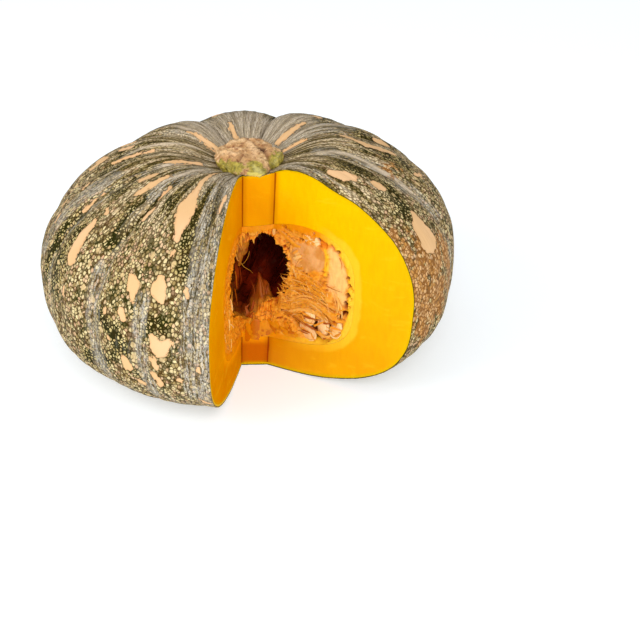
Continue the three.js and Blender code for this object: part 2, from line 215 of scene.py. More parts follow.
BUFF_STREAKS = [
    [(-27.3, 0.283, 0.0012), (-25, 0.265, 0.0018), (-24, 0.255, 0.0020), (-23.6, 0.243, 0.0052),
     (-22.8, 0.235, 0.0044), (-22, 0.226, 0.0026), (-21.7, 0.221, 0.0014)],
    [(-57.5, 0.258, 0.0022), (-60.5, 0.250, 0.0022)],
    [(-61.5, 0.280, 0.0010), (-64.5, 0.273, 0.0010)],
    [(-49.5, 0.263, 0.0012), (-51.5, 0.252, 0.0022), (-52, 0.242, 0.0020)],
    [(-57.5, 0.214, 0.0026), (-57.6, 0.204, 0.0042), (-56.5, 0.194, 0.0048), (-56, 0.191, 0.0040)],
    [(-57.8, 0.225, 0.0013), (-55.5, 0.223, 0.0012)],
    [(-55.2, 0.175, 0.0014), (-55, 0.170, 0.0012)],
    [(-39, 0.238, 0.0015), (-39.8, 0.230, 0.0015)],
    [(-31.5, 0.196, 0.0024), (-29.9, 0.191, 0.0038), (-29.2, 0.184, 0.0018)],
    [(-22.3, 0.198, 0.0022), (-22.3, 0.193, 0.0044), (-21, 0.187, 0.0026)],
    [(-32.5, 0.177, 0.0018), (-31.2, 0.173, 0.0022)],
    [(-37.8, 0.175, 0.0014), (-37.5, 0.172, 0.0012)],
    [(-15, 0.195, 0.0011), (-14, 0.191, 0.0015)],
    [(-21.2, 0.215, 0.0011), (-21.2, 0.212, 0.0010)],
    [(-22.4, 0.1655, 0.0024), (-21.0, 0.159, 0.0050)],
    [(-18.2, 0.1635, 0.0024), (-20.5, 0.158, 0.0040)],
    [(-22.8, 0.152, 0.0017), (-22.4, 0.147, 0.0020)],
    [(-31.5, 0.148, 0.0018), (-30.8, 0.143, 0.0034)],
    [(-23.2, 0.143, 0.0014), (-21.5, 0.135, 0.0022)],
    [(-36.3, 0.159, 0.0011), (-36, 0.156, 0.0011)],
    [(-11.2, 0.149, 0.0012), (-11, 0.146, 0.0010)],
    [(-17.5, 0.141, 0.0011), (-15.5, 0.139, 0.0012)],
    [(-28.5, 0.134, 0.0010), (-27, 0.131, 0.0012)],
    [(-12, 0.122, 0.0010), (-9.5, 0.119, 0.0014)],
    [(-8.0, 0.255, 0.0010), (-9.5, 0.243, 0.0011)],
    [(-43.2, 0.258, 0.0010), (-42, 0.246, 0.0011)],
    [(-70.8, 0.230, 0.0009), (-70.2, 0.213, 0.0010)],
    [(-71.5, 0.291, 0.0013), (-72.5, 0.270, 0.0011)],
    [(-130, 0.296, 0.0016), (-130.5, 0.282, 0.0016), (-131, 0.270, 0.0009)],
    [(-97, 0.262, 0.0010), (-97, 0.235, 0.0010)],
    [(-84, 0.223, 0.0015), (-82, 0.219, 0.0013)],
    [(-85, 0.206, 0.0012), (-83, 0.203, 0.0012)],
    [(-79.5, 0.199, 0.0014), (-79, 0.195, 0.0012)],
    [(54.8, 0.256, 0.0024), (57, 0.249, 0.0042), (59.6, 0.244, 0.0026)],
    [(64, 0.233, 0.0026), (64.5, 0.229, 0.0030)],
    [(65.5, 0.206, 0.0020), (64, 0.197, 0.0066), (63.8, 0.189, 0.0082)],
    [(112, 0.259, 0.0012), (106, 0.256, 0.0024), (101.5, 0.253, 0.0020), (96.5, 0.246, 0.0032),
     (98.5, 0.228, 0.0030)],
    [(104.2, 0.203, 0.0022), (103, 0.198, 0.0018)],
    [(90, 0.213, 0.0014), (93, 0.208, 0.0018)],
    [(112.5, 0.297, 0.0010), (113, 0.280, 0.0012)],
    [(137, 0.292, 0.0016), (137.5, 0.280, 0.0020), (138, 0.266, 0.0012)],
    [(194.5, 0.291, 0.0012), (195.5, 0.281, 0.0017), (195, 0.273, 0.0010)],
]

# Grey bands of wax, mostly along the furrows.
WAX_STREAKS = [
    [(84, 0.277, 0.0016), (81.5, 0.268, 0.0022), (77.5, 0.243, 0.0022), (74.5, 0.221, 0.0026), (77, 0.203, 0.0022),
     (81, 0.189, 0.0022)],
    [(-12.5, 0.292, 0.004), (-12.0, 0.240, 0.005), (-11.5, 0.170, 0.007), (-12, 0.13, 0.006)],
    [(-6, 0.235, 0.003), (-7.5, 0.180, 0.003), (-8.5, 0.12, 0.004)],
    [(-43, 0.195, 0.003), (-42, 0.130, 0.005)],
    [(-48, 0.288, 0.004), (-45, 0.245, 0.002)],
    [(-26.0, 0.187, 0.002), (-27, 0.160, 0.003), (-25, 0.125, 0.004)],
    [(-77, 0.240, 0.004), (-78, 0.18, 0.005)],
    [(-68, 0.29, 0.003), (-68, 0.2, 0.001)],
    [(51, 0.288, 0.003), (49, 0.255, 0.001)],
    [(79, 0.27, 0.003), (80, 0.19, 0.004)],
    [(122, 0.292, 0.008), (124, 0.25, 0.009)],
    [(155, 0.288, 0.006), (155, 0.262, 0.008)],
    [(184, 0.276, 0.008), (184, 0.25, 0.012)],
    [(-150, 0.29, 0.005), (-152, 0.2, 0.006)],
]

# Narrow pale lines along the lips of the furrows.
PALE_LINES = [
    [(-109, 0.288, 0.0012), (-104, 0.271, 0.0014), (-100.5, 0.253, 0.0012), (-97, 0.236, 0.0005)],
    [(-133.5, 0.284, 0.0012), (-132.5, 0.265, 0.0014), (-136, 0.240, 0.0008)],
    [(81.5, 0.276, 0.0010), (82.5, 0.259, 0.0014), (81, 0.240, 0.0015), (79.5, 0.212, 0.0014),
     (76, 0.190, 0.0008)],
    [(-72, 0.283, 0.0010), (-69, 0.268, 0.0012), (-66.5, 0.252, 0.0007)],
    [(-47.5, 0.286, 0.0010), (-46.5, 0.270, 0.0012), (-48.5, 0.256, 0.0007)],
    [(126, 0.284, 0.0012), (124, 0.262, 0.0014), (121, 0.240, 0.0010)],
]

# Where the green between the cells is darkest: partly the net's own darker green, partly painted shade along the
# furrows.
DARK_STREAKS = [
    [(-45.8, 0.264, 0.003), (-45.2, 0.212, 0.004)],
    [(86, 0.292, 0.002), (85.5, 0.27, 0.0016), (80.5, 0.243, 0.0012), (78, 0.222, 0.0012)],
    [(-17.5, 0.262, 0.003), (-16.5, 0.205, 0.004)],
    [(-38, 0.170, 0.004), (-32, 0.155, 0.006)],
    [(-24, 0.176, 0.003), (-20, 0.171, 0.004)],
    [(66, 0.225, 0.005), (62, 0.208, 0.004)],
    [(95, 0.25, 0.004), (92, 0.22, 0.004)],
    [(-61, 0.205, 0.006), (-61, 0.17, 0.006)],
    [(-69, 0.21, 0.005), (-70, 0.175, 0.006)],
    [(-36, 0.146, 0.003), (-46, 0.136, 0.005)],
    [(-92, 0.275, 0.003), (-88, 0.25, 0.005), (-84, 0.235, 0.004)],
    [(-104, 0.262, 0.003), (-100, 0.243, 0.005)],
    [(-128, 0.272, 0.003), (-128, 0.258, 0.004)],
    [(137, 0.25, 0.006), (140, 0.235, 0.006)],
    [(116, 0.238, 0.005), (112, 0.222, 0.005)],
    [(-66, 0.262, 0.003), (-64, 0.238, 0.005)],
    [(-33, 0.27, 0.003), (-31, 0.236, 0.004)],
    [(66, 0.256, 0.003), (68, 0.244, 0.004)],
]

# Where the skin has weathered to russet.
RUSSET_STREAKS = [
    [(52, 0.202, 0.003), (54, 0.165, 0.010), (55, 0.140, 0.006)],
    [(62, 0.186, 0.009), (62, 0.150, 0.011)],
    [(71, 0.178, 0.007), (73, 0.158, 0.008), (78, 0.145, 0.003)],
    [(83.5, 0.2315, 0.0022), (84, 0.2285, 0.0022)],
]


def streak_field(azimuth, arc, streaks):
    """How far skin points lie inside the nearest streak, in metres; outside it is negative."""
    reach = np.interp(arc, SECTION[0], SECTION[1])
    field = np.full(len(arc), -0.02)
    for streak in streaks:
        for (azimuth_0, arc_0, half_0), (azimuth_1, arc_1, half_1) in zip(streak, streak[1:]):
            middle_reach = np.interp((arc_0 + arc_1) / 2, SECTION[0], SECTION[1])
            across = np.radians((azimuth - azimuth_0 + 180) % 360 - 180) * reach
            up = arc - arc_0
            run = math.radians(azimuth_1 - azimuth_0) * middle_reach, arc_1 - arc_0
            share = np.clip((across * run[0] + up * run[1]) / (run[0] ** 2 + run[1] ** 2), 0, 1)
            apart = np.hypot(across - share * run[0], up - share * run[1])
            field = np.maximum(field, half_0 + (half_1 - half_0) * share - apart)
    return field


def hidden_streaks(count, seed):
    """More buff streaks of the same kind, scattered over the sides that the list doesn't reach."""
    random = np.random.RandomState(seed)
    streaks = []
    for _ in range(count):
        azimuth, arc = random.uniform(100, 262), random.uniform(0.105, 0.255)
        half, length = random.uniform(0.0011, 0.0042), random.uniform(0.003, 0.012)
        drift = random.uniform(-2.5, 2.5)
        streaks.append([
            (azimuth, arc, half * random.uniform(0.4, 0.9)),
            (azimuth + drift * 0.4, arc - length * 0.5, half),
            (azimuth + drift, arc - length, half * random.uniform(0.3, 0.8)),
        ])
    return streaks


def step(values, low, high):
    """A smooth rise from 0 at `low` to 1 at `high`."""
    share = np.clip((values - low) / (high - low), 0, 1)
    return share * share * (3 - 2 * share)


# ---------------------------------------------------------------- working on pieces


def added(name):
    """The primitive that was just added, under its own name."""
    piece = bpy.context.object
    piece.name = piece.data.name = name
    return piece


def copied(piece, name):
    """A copy of a piece with a mesh of its own."""
    copy = piece.copy()
    copy.data = piece.data.copy()
    copy.name = copy.data.name = name
    bpy.context.collection.objects.link(copy)
    return copy


def deselect():
    bpy.ops.object.select_all(action="DESELECT")


def make_active(piece):
    deselect()
    piece.select_set(True)
    bpy.context.view_layer.objects.active = piece


def points_of(piece):
    flat = np.zeros(len(piece.data.vertices) * 3)
    piece.data.vertices.foreach_get("co", flat)
    return flat.reshape(-1, 3)


def place_points(piece, points):
    piece.data.vertices.foreach_set("co", np.ascontiguousarray(points).ravel())
    piece.data.update()


# Steps round a ball and from its foot to its top.
OUTER_STEPS = (432, 164)
INNER_STEPS = (216, 82)
CAVITY_STEPS = (144, 72)
VOID_STEPS = (220, 120)
STEM_STEPS = (180, 84)
SEED_STEPS = (40, 22)
STRAND_STEPS = (6, 14)


def formed_ball(name, steps, form):
    """A closed ball whose points are placed by form(azimuth, rise, unit); rise is 0 at the foot."""
    deselect()
    bpy.ops.mesh.primitive_uv_sphere_add(segments=steps[0], ring_count=steps[1], radius=1)
    ball = added(name)
    unit = points_of(ball)
    unit /= np.linalg.norm(unit, axis=1)[:, None]
    azimuth = np.degrees(np.arctan2(unit[:, 0], -unit[:, 1]))
    rise = 0.5 + np.arcsin(np.clip(unit[:, 2], -1, 1)) / math.pi
    place_points(ball, form(azimuth, rise, unit))
    return ball


def skin_points(azimuth, arc, under):
    """The finished skin, with its fine grooves, ripples and slight lumps, or what lies `under` it."""
    plain = body_points(azimuth, arc, 0)
    away_from_foot = step(arc, 0.05, 0.09)
    inset = under + np.interp(arc, *zip(*SKIN_INSETS))
    inset = inset + 0.00028 * (1 + roughness_at(plain, 0.017, 3, 2)) * away_from_foot
    inset = inset + 0.0001 * (1 + np.sin(np.radians(azimuth) * 74 + 2.2 * np.sin(arc * 55))) * away_from_foot
    for middle, low, high, depth, half_width in FINE_GROOVES:
        aside = (azimuth - middle + 180) % 360 - 180
        reach = step(arc, low, low + 0.02) * (1 - step(arc, high - 0.02, high))
        inset = inset + depth * reach * np.exp(-(aside / half_width) ** 2)
    for middle, depth in FURROWS:
        aside = (azimuth - middle + 180) % 360 - 180
        reach = step(arc, 0.1, 0.2) * (1 - step(arc, 0.29, 0.31))
        inset = inset + 0.18 * depth * reach * np.exp(-(aside / 1.5) ** 2)
    from_lobe = ((plain[:, :2] - GROWTH_AXIS[:2] - (0.0080, -0.0275)) / (0.0095, 0.0095)) ** 4
    seat = np.exp(-from_lobe.sum(1)) * (plain[:, 2] > 0.1)
    return body_points(azimuth, arc, inset + seat * (0.0013 - 0.92 * under))


def skin_ball(name, steps, under):
    """The whole fruit's finished skin, or the surface that lies `under` it."""
    return formed_ball(name, steps, lambda azimuth, rise, unit: skin_points(azimuth, rise * FULL_ARC, under))


def cut(piece, tool):
    """Cuts the tool's shape out of the piece, and removes the tool."""
    make_active(piece)
    knife = piece.modifiers.new("cut", "BOOLEAN")
    knife.operation = "DIFFERENCE"
    knife.solver = "MANIFOLD"
    knife.object = tool
    bpy.ops.object.modifier_apply(modifier=knife.name)
    bpy.data.objects.remove(tool)
    if not piece.data.polygons:
        raise RuntimeError(f"the cut left nothing of {piece.name}")


def roughness_at(points, size, seed, depth=3):
    """A smooth noise of about -1 to 1 at each point, whose lumps are about `size` across."""
    offset = Vector((7.31 * seed, -3.7 * seed, 5.9 * seed))
    return np.array([noise.fractal(Vector(point) / size + offset, 0.6, 2.1, depth) for point in points])


def paint(piece, name, values):
    """Keeps one number, or one vector, for each point of the piece, for its material to read."""
    vector = np.ndim(values) == 2
    layer = piece.data.attributes.new(name, "FLOAT_VECTOR" if vector else "FLOAT", "POINT")
    layer.data.foreach_set("vector" if vector else "value", np.ascontiguousarray(values, float).ravel())


def smooth(piece, angle=35):
    make_active(piece)
    bpy.ops.object.shade_smooth_by_angle(angle=math.radians(angle))


def finish_piece(piece, material, slot, *nodes):
    piece.data.materials.clear()
    piece.data.materials.append(material)
    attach(piece, "root")
    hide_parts(*nodes)


# ---------------------------------------------------------------- the knife


def plane_gap(points, name):
    """How far points lie beyond a cut's plane, on the side that stays in the fruit."""
    angle, offset, lean = CUTS[name]
    x, y, z = (points - GROWTH_AXIS).T
    gap = x * math.cos(math.radians(angle)) + y * math.sin(math.radians(angle)) - offset - lean * z
    return -gap if name == "left" else gap


def behind_cuts(points):
    """How far points lie behind the cut that is farthest before them."""
    return np.maximum.reduce([plane_gap(points, face) for face in CUTS])


def on_cut(name, along, z, behind):
    """Points on a cut: `along` it from the growth axis, at a height, and `behind` it in the fruit."""
    angle, offset, lean = CUTS[name]
    turn = math.radians(angle)
    reach = offset + lean * z + (-behind if name == "left" else behind)
    x = reach * math.cos(turn) + along * math.sin(turn)
    y = reach * math.sin(turn) - along * math.cos(turn)
    return np.stack(np.broadcast_arrays(x, y, z), -1) + GROWTH_AXIS


def along_cut(name, points):
    """How far along a cut points lie from the growth axis."""
    turn = math.radians(CUTS[name][0])
    x, y, _ = (points - GROWTH_AXIS).T
    return x * math.sin(turn) - y * math.cos(turn)


def meeting(first, second, z):
    """Where two upright cuts meet at each height."""
    (angle_a, offset_a, lean_a), (angle_b, offset_b, lean_b) = first, second
    reach_a, reach_b = offset_a + lean_a * z, offset_b + lean_b * z
    ax, ay = math.cos(math.radians(angle_a)), math.sin(math.radians(angle_a))
    bx, by = math.cos(math.radians(angle_b)), math.sin(math.radians(angle_b))
    scale = ax * by - bx * ay
    return np.stack([(reach_a * by - reach_b * ay) / scale, (ax * reach_b - bx * reach_a) / scale], 1)


def knife_wedge(name, steps, low, high, front, relief, growth=0.0):
    """The wedge that the knife takes out, grown by `growth`, from one height to another and as far as
    `front` from the growth axis. It is stepped finely, and each of its three cut faces is pushed on into
    the fruit by relief(face, points)."""
    deselect()
    bpy.ops.mesh.primitive_cube_add(size=1)
    wedge = added(name)
    bpy.ops.object.mode_set(mode="EDIT")
    bpy.ops.mesh.select_all(action="SELECT")
    bpy.ops.mesh.subdivide(number_cuts=steps)
    bpy.ops.object.mode_set(mode="OBJECT")
    share = points_of(wedge) + 0.5
    z = low + (high - low) * share[:, 2]
    grown = {
        face: (angle, offset - growth if face == "left" else offset + growth, lean)
        for face, (angle, offset, lean) in CUTS.items()
    }
    mouth = (MOUTH_ANGLE, -front, 0.0)
    across, inward = share[:, :1], share[:, 1:2]
    level = 0
    for side, side_share in (("left", 1 - across), ("right", across)):
        level = level + side_share * (1 - inward) * meeting(grown[side], mouth, z)
        level = level + side_share * inward * meeting(grown[side], grown["back"], z)
    points = np.column_stack([level, z]) + GROWTH_AXIS
    flush = 1e-4
    on_face = {
        "left": share[:, 0] < flush, "right": share[:, 0] > 1 - flush, "back": share[:, 1] > 1 - flush,
    }
    shifts = np.zeros_like(points)
    for face, chosen in on_face.items():
        turn = math.radians(CUTS[face][0])
        inward_way = np.array([math.cos(turn), math.sin(turn), 0]) * (-1 if face == "left" else 1)
        shifts[chosen] += inward_way * relief(face, points[chosen])[:, None]
    place_points(wedge, points + shifts)
    return wedge


def knife_marks(face, points):
    """The faint waves that a knife leaves on firm flesh."""
    along, z = along_cut(face, points), points[:, 2]
    sweep = np.sin(z / 0.0085 + 0.6 * np.sin(along / 0.02)) * 0.00006
    return sweep + 0.00012 * roughness_at(points, 0.016, 5, 2)


def cut_wedge_out(piece):
    cut(piece, knife_wedge("knife", steps=90, low=CUT_BOTTOM, high=CUT_TOP, front=CUT_REACH, relief=knife_marks))


# ---------------------------------------------------------------- materials


def linear(red, green, blue):
    """A colour that is given as it looks on a screen, 0 to 255, as a shader wants it."""
    shares = [channel / 255 for channel in (red, green, blue)]
    return tuple(s / 12.92 if s <= 0.04045 else ((s + 0.055) / 1.055) ** 2.4 for s in shares)


def colour(name, description, *screen):
    """A colour setting, whose default is given as it looks on a screen."""
    return FloatVectorProperty(
        name=name, description=description, default=linear(*screen), subtype="COLOR", min=0, max=1,
    )


def entry(value):
    """A colour gets the alpha that its socket wants; any other value is left as it is."""
    if isinstance(value, bpy.types.NodeSocket) or value is None or np.isscalar(value):
        return value
    return (*tuple(value)[:3], 1.0)


class Finish:
    """A material in the making. Most methods add one shader node and return its output; lay() covers
    the colour so far with another."""

    def __init__(self, name):
        self.material = bpy.data.materials.new(name)
        self.material.use_nodes = True
        self.tree = self.material.node_tree
        self.shader = self.tree.nodes["Principled BSDF"]
        self.colour = None

    def node(self, kind, **settings):
        node = self.tree.nodes.new(kind)
        for key, value in settings.items():
            setattr(node, key, value)
        return node

    def feed(self, socket, value):
        if isinstance(value, bpy.types.NodeSocket):
            self.tree.links.new(value, socket)
        elif value is not None:
            socket.default_value = value

    def painted(self, name, vector=False):
        node = self.node("ShaderNodeAttribute", attribute_name=name)
        return node.outputs["Vector" if vector else "Fac"]

    def place(self, scale=(1, 1, 1), turn=(0, 0, 0), where=None):
        """Where the surface is on the object, or a painted place, stretched and turned."""
        node = self.node("ShaderNodeMapping")
        self.feed(node.inputs["Vector"], where or self.node("ShaderNodeTexCoord").outputs["Object"])
        node.inputs["Scale"].default_value = scale
        node.inputs["Rotation"].default_value = turn
        return node.outputs["Vector"]

    def noise(self, where, size, detail=2.0, roughness=0.5, distortion=0.0, output="Fac"):
        """A noise from 0 to 1 whose lumps are about `size` metres across."""
        node = self.node("ShaderNodeTexNoise")
        self.feed(node.inputs["Vector"], where)
        numbers = {"Scale": 1 / size, "Detail": detail, "Roughness": roughness, "Distortion": distortion}
        for name, number in numbers.items():
            node.inputs[name].default_value = number
        return node.outputs[output]

    def cells(self, where, size, feature="F1", output="Distance"):
        node = self.node("ShaderNodeTexVoronoi", feature=feature)
        self.feed(node.inputs["Vector"], where)
        node.inputs["Scale"].default_value = 1 / size
        return node.outputs[output]

    def draws(self, where, size):
        """Three numbers from 0 to 1 for each cell, drawn by chance."""
        split = self.node("ShaderNodeSeparateColor")
        self.feed(split.inputs[0], self.cells(where, size, output="Color"))
        return split.outputs

    def sum(self, operation, a, b, clamp=False):
        node = self.node("ShaderNodeMath", operation=operation, use_clamp=clamp)
        self.feed(node.inputs[0], a)
        self.feed(node.inputs[1], b)
        return node.outputs[0]

    def times(self, a, b):
        return self.sum("MULTIPLY", a, b)

    def plus(self, a, b, clamp=False):
        return self.sum("ADD", a, b, clamp)

    def span(self, value, low, high, to_low=0.0, to_high=1.0):
        node = self.node("ShaderNodeMapRange", interpolation_type="SMOOTHSTEP")
        for socket, number in zip(node.inputs, (value, low, high, to_low, to_high)):
            self.feed(socket, number)
        return node.outputs[0]

    def blend(self, share, a, b):
        node = self.node("ShaderNodeMix", data_type="RGBA")
        share_socket, a_socket, b_socket = node.inputs[0], node.inputs[6], node.inputs[7]
        self.feed(share_socket, share)
        self.feed(a_socket, entry(a))
        self.feed(b_socket, entry(b))
        return node.outputs[2]

    def lay(self, share, colour):
        """Covers the colour so far with another, by a share from 0 to 1."""
        self.colour = self.blend(share, self.colour, colour)

    def bump(self, height, distance, strength):
        node = self.node("ShaderNodeBump")
        node.inputs["Strength"].default_value = strength
        node.inputs["Distance"].default_value = distance
        self.feed(node.inputs["Height"], height)
        return node.outputs["Normal"]

    def shade(self, **sockets):
        """Sets the shader's sockets and gives the material, in the colour laid so far."""
        for name, value in {"Base_Color": self.colour, **sockets}.items():
            self.feed(self.shader.inputs[name.replace("_", " ")], entry(value))
        return self.material


# ---------------------------------------------------------------- rind


class RindSettings(bpy.types.PropertyGroup):
    """Sizes and colours of the skin."""

    thickness: FloatProperty(
        name="Thickness", description="How thick the hard skin is", default=0.0016, min=0.0008, max=0.004,
        unit="LENGTH",
    )
    cell_size: FloatProperty(
        name="Net cell", description="Width of a pale cell in the net", default=0.00172, min=0.001, max=0.01,
        unit="LENGTH",
    )
    net_green: colour("Net green", "Green of the lines between the cells", 44, 45, 6)
    net_brown: colour("Net brown", "Brown that the lines turn to", 68, 45, 8)
    cell_cream: colour("Cell cream", "Palest cells of the net", 232, 211, 158)
    cell_olive: colour("Cell olive", "Duller cells of the net", 166, 141, 90)
    wax: colour("Wax", "Grey wax along the furrows", 202, 196, 184)
    buff: colour("Buff", "Colour of the smooth buff streaks", 220, 178, 128)


NET_REACH = 0.11  # the net is as wide here as on the skin, and narrows toward both ends
HIDDEN_STREAKS = (58, 4)  # how many, and their seed

# Stretches of arc over which a look comes in as the skin climbs to the stem.
FOOT_ARC = (0.1, 0.145)
RIB_ARC = (0.2, 0.235)
UPPER_ARC = (0.205, 0.245)
DRAWN_ARC = (0.245, 0.288)
CROWN_ARC = (0.285, 0.3)
STEM_ARC = (0.283, 0.3)
BACK_WAX_ARC = (0.238, 0.262)
BACK_LINE_ARC = (0.245, 0.266)

# Depths below the rib crests, in a furrow and on its flank.
FURROW_DEPTH = (0.0018, 0.0038)
FURROW_HEART = (0.0026, 0.0040)
FLANK_START = (0.0006, 0.0018)
FLANK_END = (0.0024, 0.0034)


def make_rind(settings):
    rind = skin_ball("rind_skin", OUTER_STEPS, 0)
    outside = surface_tree(rind)
    cut(rind, skin_ball("under_skin", INNER_STEPS, settings.thickness))
    cut_wedge_out(rind)
    paint_rind(rind, outside)
    smooth(rind)
    return rind


def paint_rind(rind, outside):
    points = points_of(rind)
    azimuth, arc = unwrap(points)
    turn = np.radians(azimuth)
    fall = furrow_fall(azimuth)
    from_front = np.abs((azimuth + 180) % 360 - 180)

    def inside(streaks, low, high):
        return step(streak_field(azimuth, arc, streaks), low, high)

    high = step(arc, *RIB_ARC) * (1 - step(arc, *CROWN_ARC))
    flank = step(fall, *FLANK_START) * (1 - step(fall, *FLANK_END))
    wax = np.maximum.reduce([
        inside(WAX_STREAKS, -0.006, 0.002),
        0.5 * step(arc, *STEM_ARC),
        0.85 * step(arc, *BACK_WAX_ARC) * step(from_front, 112, 140),
        0.55 * (1 - step(arc, *FOOT_ARC)),
        step(fall, *FURROW_DEPTH) * (0.75 - 0.75 * high),
        0.38 * high * flank,
    ])
    back = step(arc, *BACK_LINE_ARC) * step(from_front, 112, 145)
    paint(rind, "net_place", np.stack([NET_REACH * np.cos(turn), NET_REACH * np.sin(turn), arc], 1))
    paint(rind, "under_skin", surface_gap(points, outside))
    paint(rind, "buff", streak_field(azimuth, arc, BUFF_STREAKS + hidden_streaks(*HIDDEN_STREAKS)))
    paint(rind, "wax", wax)
    paint(rind, "pale_line", np.maximum(inside(PALE_LINES, -0.0006, 0.0012), 0.45 * back))
    # Painted shade: the bottoms of the furrows toward the top are laid dark, through the same mark as the darker
    # net.
    painted_furrow_shade = 0.9 * high * step(fall, *FURROW_HEART)
    paint(rind, "dark", np.maximum(0.7 * inside(DARK_STREAKS, -0.005, 0.002), painted_furrow_shade))
    paint(rind, "drawn", step(arc, *DRAWN_ARC))
    paint(rind, "upper", step(arc, *UPPER_ARC))
    paint(rind, "russet", inside(RUSSET_STREAKS, -0.012, 0.007))


def stirred_net(finish):
    """Where the net is drawn on the skin, stirred a little so that no line of it runs straight."""
    net = finish.painted("net_place", vector=True)
    stir = finish.noise(net, 0.005, output="Color")
    mixed = finish.node("ShaderNodeMix", data_type="VECTOR")
    for index, value in ((0, 0.0016), (4, net), (5, stir)):
        finish.feed(mixed.inputs[index], value)
    return finish.place((1, 1, 0.76), where=mixed.outputs[1])


def rind_finish(settings):
    finish = Finish("waxy netted rind")
    span, times, plus, blend, lay = finish.span, finish.times, finish.plus, finish.blend, finish.lay
    net = stirred_net(finish)
    broad = finish.noise(net, 0.026, 3)
    patchy = finish.noise(net, 0.008, 3, 0.6)
    fine = finish.noise(net, 0.0007, 2)
    streaky = finish.noise(finish.place((1, 1, 0.16), where=net), 0.0034, 4, 0.65)
    thready = finish.noise(finish.place((1, 1, 0.12), where=net), 0.0011, 3, 0.6)
    banded = finish.noise(finish.place((1, 1, 0.2), where=net), 0.0062, 3, 0.6)
    dark = finish.sum("MAXIMUM", finish.painted("dark"), span(broad, 0.57, 0.75, 0, 0.5))
    drawn, upper = finish.painted("drawn"), finish.painted("upper")

    # The net: small round pale cells with dark lines between them, wide where the skin is dark, which takes in the
    # painted shade along the furrows.
    edge = finish.cells(net, settings.cell_size, "DISTANCE_TO_EDGE")
    middle = finish.cells(net, settings.cell_size)
    draw = finish.draws(net, settings.cell_size)
    line = span(plus(dark, span(patchy, 0.35, 0.75, -0.35, 0.45)), 0, 1, 0.05, 0.2)
    pale = span(finish.sum("SUBTRACT", edge, line), -0.05, 0.07)
    pale = times(pale, span(middle, 0.44, 0.66, 1, 0.3))
    pale = times(pale, span(draw[0], 0.04, 0.24, 0.2, 1))
    ground = blend(span(patchy, 0.4, 0.62), settings.net_brown, settings.net_green)
    ground = blend(times(dark, 0.85), ground, linear(30, 30, 4))
    bright = plus(span(draw[1], 0.1, 0.95), times(dark, 0.35), clamp=True)
    cell = blend(bright, settings.cell_olive, settings.cell_cream)
    cell = blend(span(draw[2], 0.6, 0.95, 0, 0.7), cell, linear(214, 168, 134))
    cell = blend(times(dark, 0.55), cell, linear(182, 166, 82))
    finish.colour = blend(pale, ground, cell)
    lay(span(fine, 0.3, 0.44, 0.6, 0), linear(46, 36, 8))

    # A few of the cells are large and cream.
    spot = plus(finish.cells(net, 0.0058), span(finish.noise(net, 0.002, 2), 0, 1, -0.12, 0.12))
    spot = times(span(spot, 0.2, 0.27, 1, 0), span(finish.draws(net, 0.0058)[0], 0.66, 0.7))
    lay(times(spot, 0.9), linear(216, 186, 134))

    # Toward the stem the net is drawn out into brown and pale streaks.
    streak = blend(span(thready, 0.42, 0.54), linear(60, 42, 12), linear(226, 200, 158))
    lay(times(drawn, span(patchy, 0.4, 0.6, 0.15, 0.65)), streak)
    lay(times(span(drawn, 0, 1, 0.14, 0.4), span(streaky, 0.4, 0.54, 1, 0)), linear(52, 40, 10))

    # Dark green and pale bands run along the ribs there.
    for share, line_colour, cell_colour in [
        (span(banded, 0.41, 0.5, 0.85, 0), (42, 36, 6), (110, 92, 40)),
        (span(banded, 0.5, 0.6, 0, 0.72), (138, 118, 82), (240, 218, 182)),
    ]:
        lay(times(upper, share), blend(pale, linear(*line_colour), linear(*cell_colour)))

    # Wax veils the net with grey, streaked along the ribs.
    veil = plus(finish.painted("wax"), span(streaky, 0.3, 0.72, -0.7, 0.15))
    veil = plus(veil, times(upper, span(banded, 0.38, 0.6, -0.4, 0.15)), clamp=True)
    veil_colour = blend(span(thready, 0.36, 0.58), linear(88, 71, 36), settings.wax)
    lay(times(veil, span(fine, 0.34, 0.6, 0.3, 0.85)), veil_colour)
    speck = span(finish.noise(finish.place((1, 1, 0.5), where=net), 0.0009, 1), 0.34, 0.43, 0.9, 0)
    lay(times(speck, veil), linear(54, 44, 18))
    lay(times(finish.painted("pale_line"), span(thready, 0.34, 0.5, 0.3, 0.7)), linear(224, 204, 178))

    # Russet is mottled, and keeps the net.
    russet = finish.painted("russet")
    mottled = plus(russet, span(finish.noise(net, 0.005, 5, 0.7), 0.25, 0.75, -0.6, 0.6))
    brown = blend(pale, linear(136, 88, 40), blend(bright, linear(196, 138, 70), linear(218, 170, 116)))
    brown = blend(span(finish.noise(net, 0.0022, 4, 0.7), 0.34, 0.45, 0.7, 0), brown, linear(104, 62, 26))
    lay(times(span(mottled, 0.42, 0.8, 0, 0.9), span(russet, 0, 0.12)), brown)

    # The buff streaks are smooth and have a ragged edge with a thin dark line round it.
    inside = plus(finish.painted("buff"), span(finish.noise(net, 0.0042, 3, 0.5), 0, 1, -0.0010, 0.0010))
    inside = plus(inside, span(draw[0], 0, 1, -0.0004, 0.0004))
    patch = span(inside, -0.0001, 0.0002)
    buff = blend(span(finish.noise(net, 0.02, 2), 0.4, 0.65), settings.buff, linear(226, 184, 138))
    buff = blend(span(inside, 0.0002, 0.0012, 0.3, 0.0), buff, linear(198, 142, 92))
    lay(times(span(inside, -0.0011, -0.0003), 0.45), linear(52, 42, 10))
    lay(patch, buff)

    # The cut edge is a thin dark line that pales inward.
    under = finish.painted("under_skin")
    rim = blend(span(under, 0.0004, 0.0009), linear(50, 56, 12), linear(214, 172, 0))
    lay(span(under, 0.0001, 0.0003), rim)

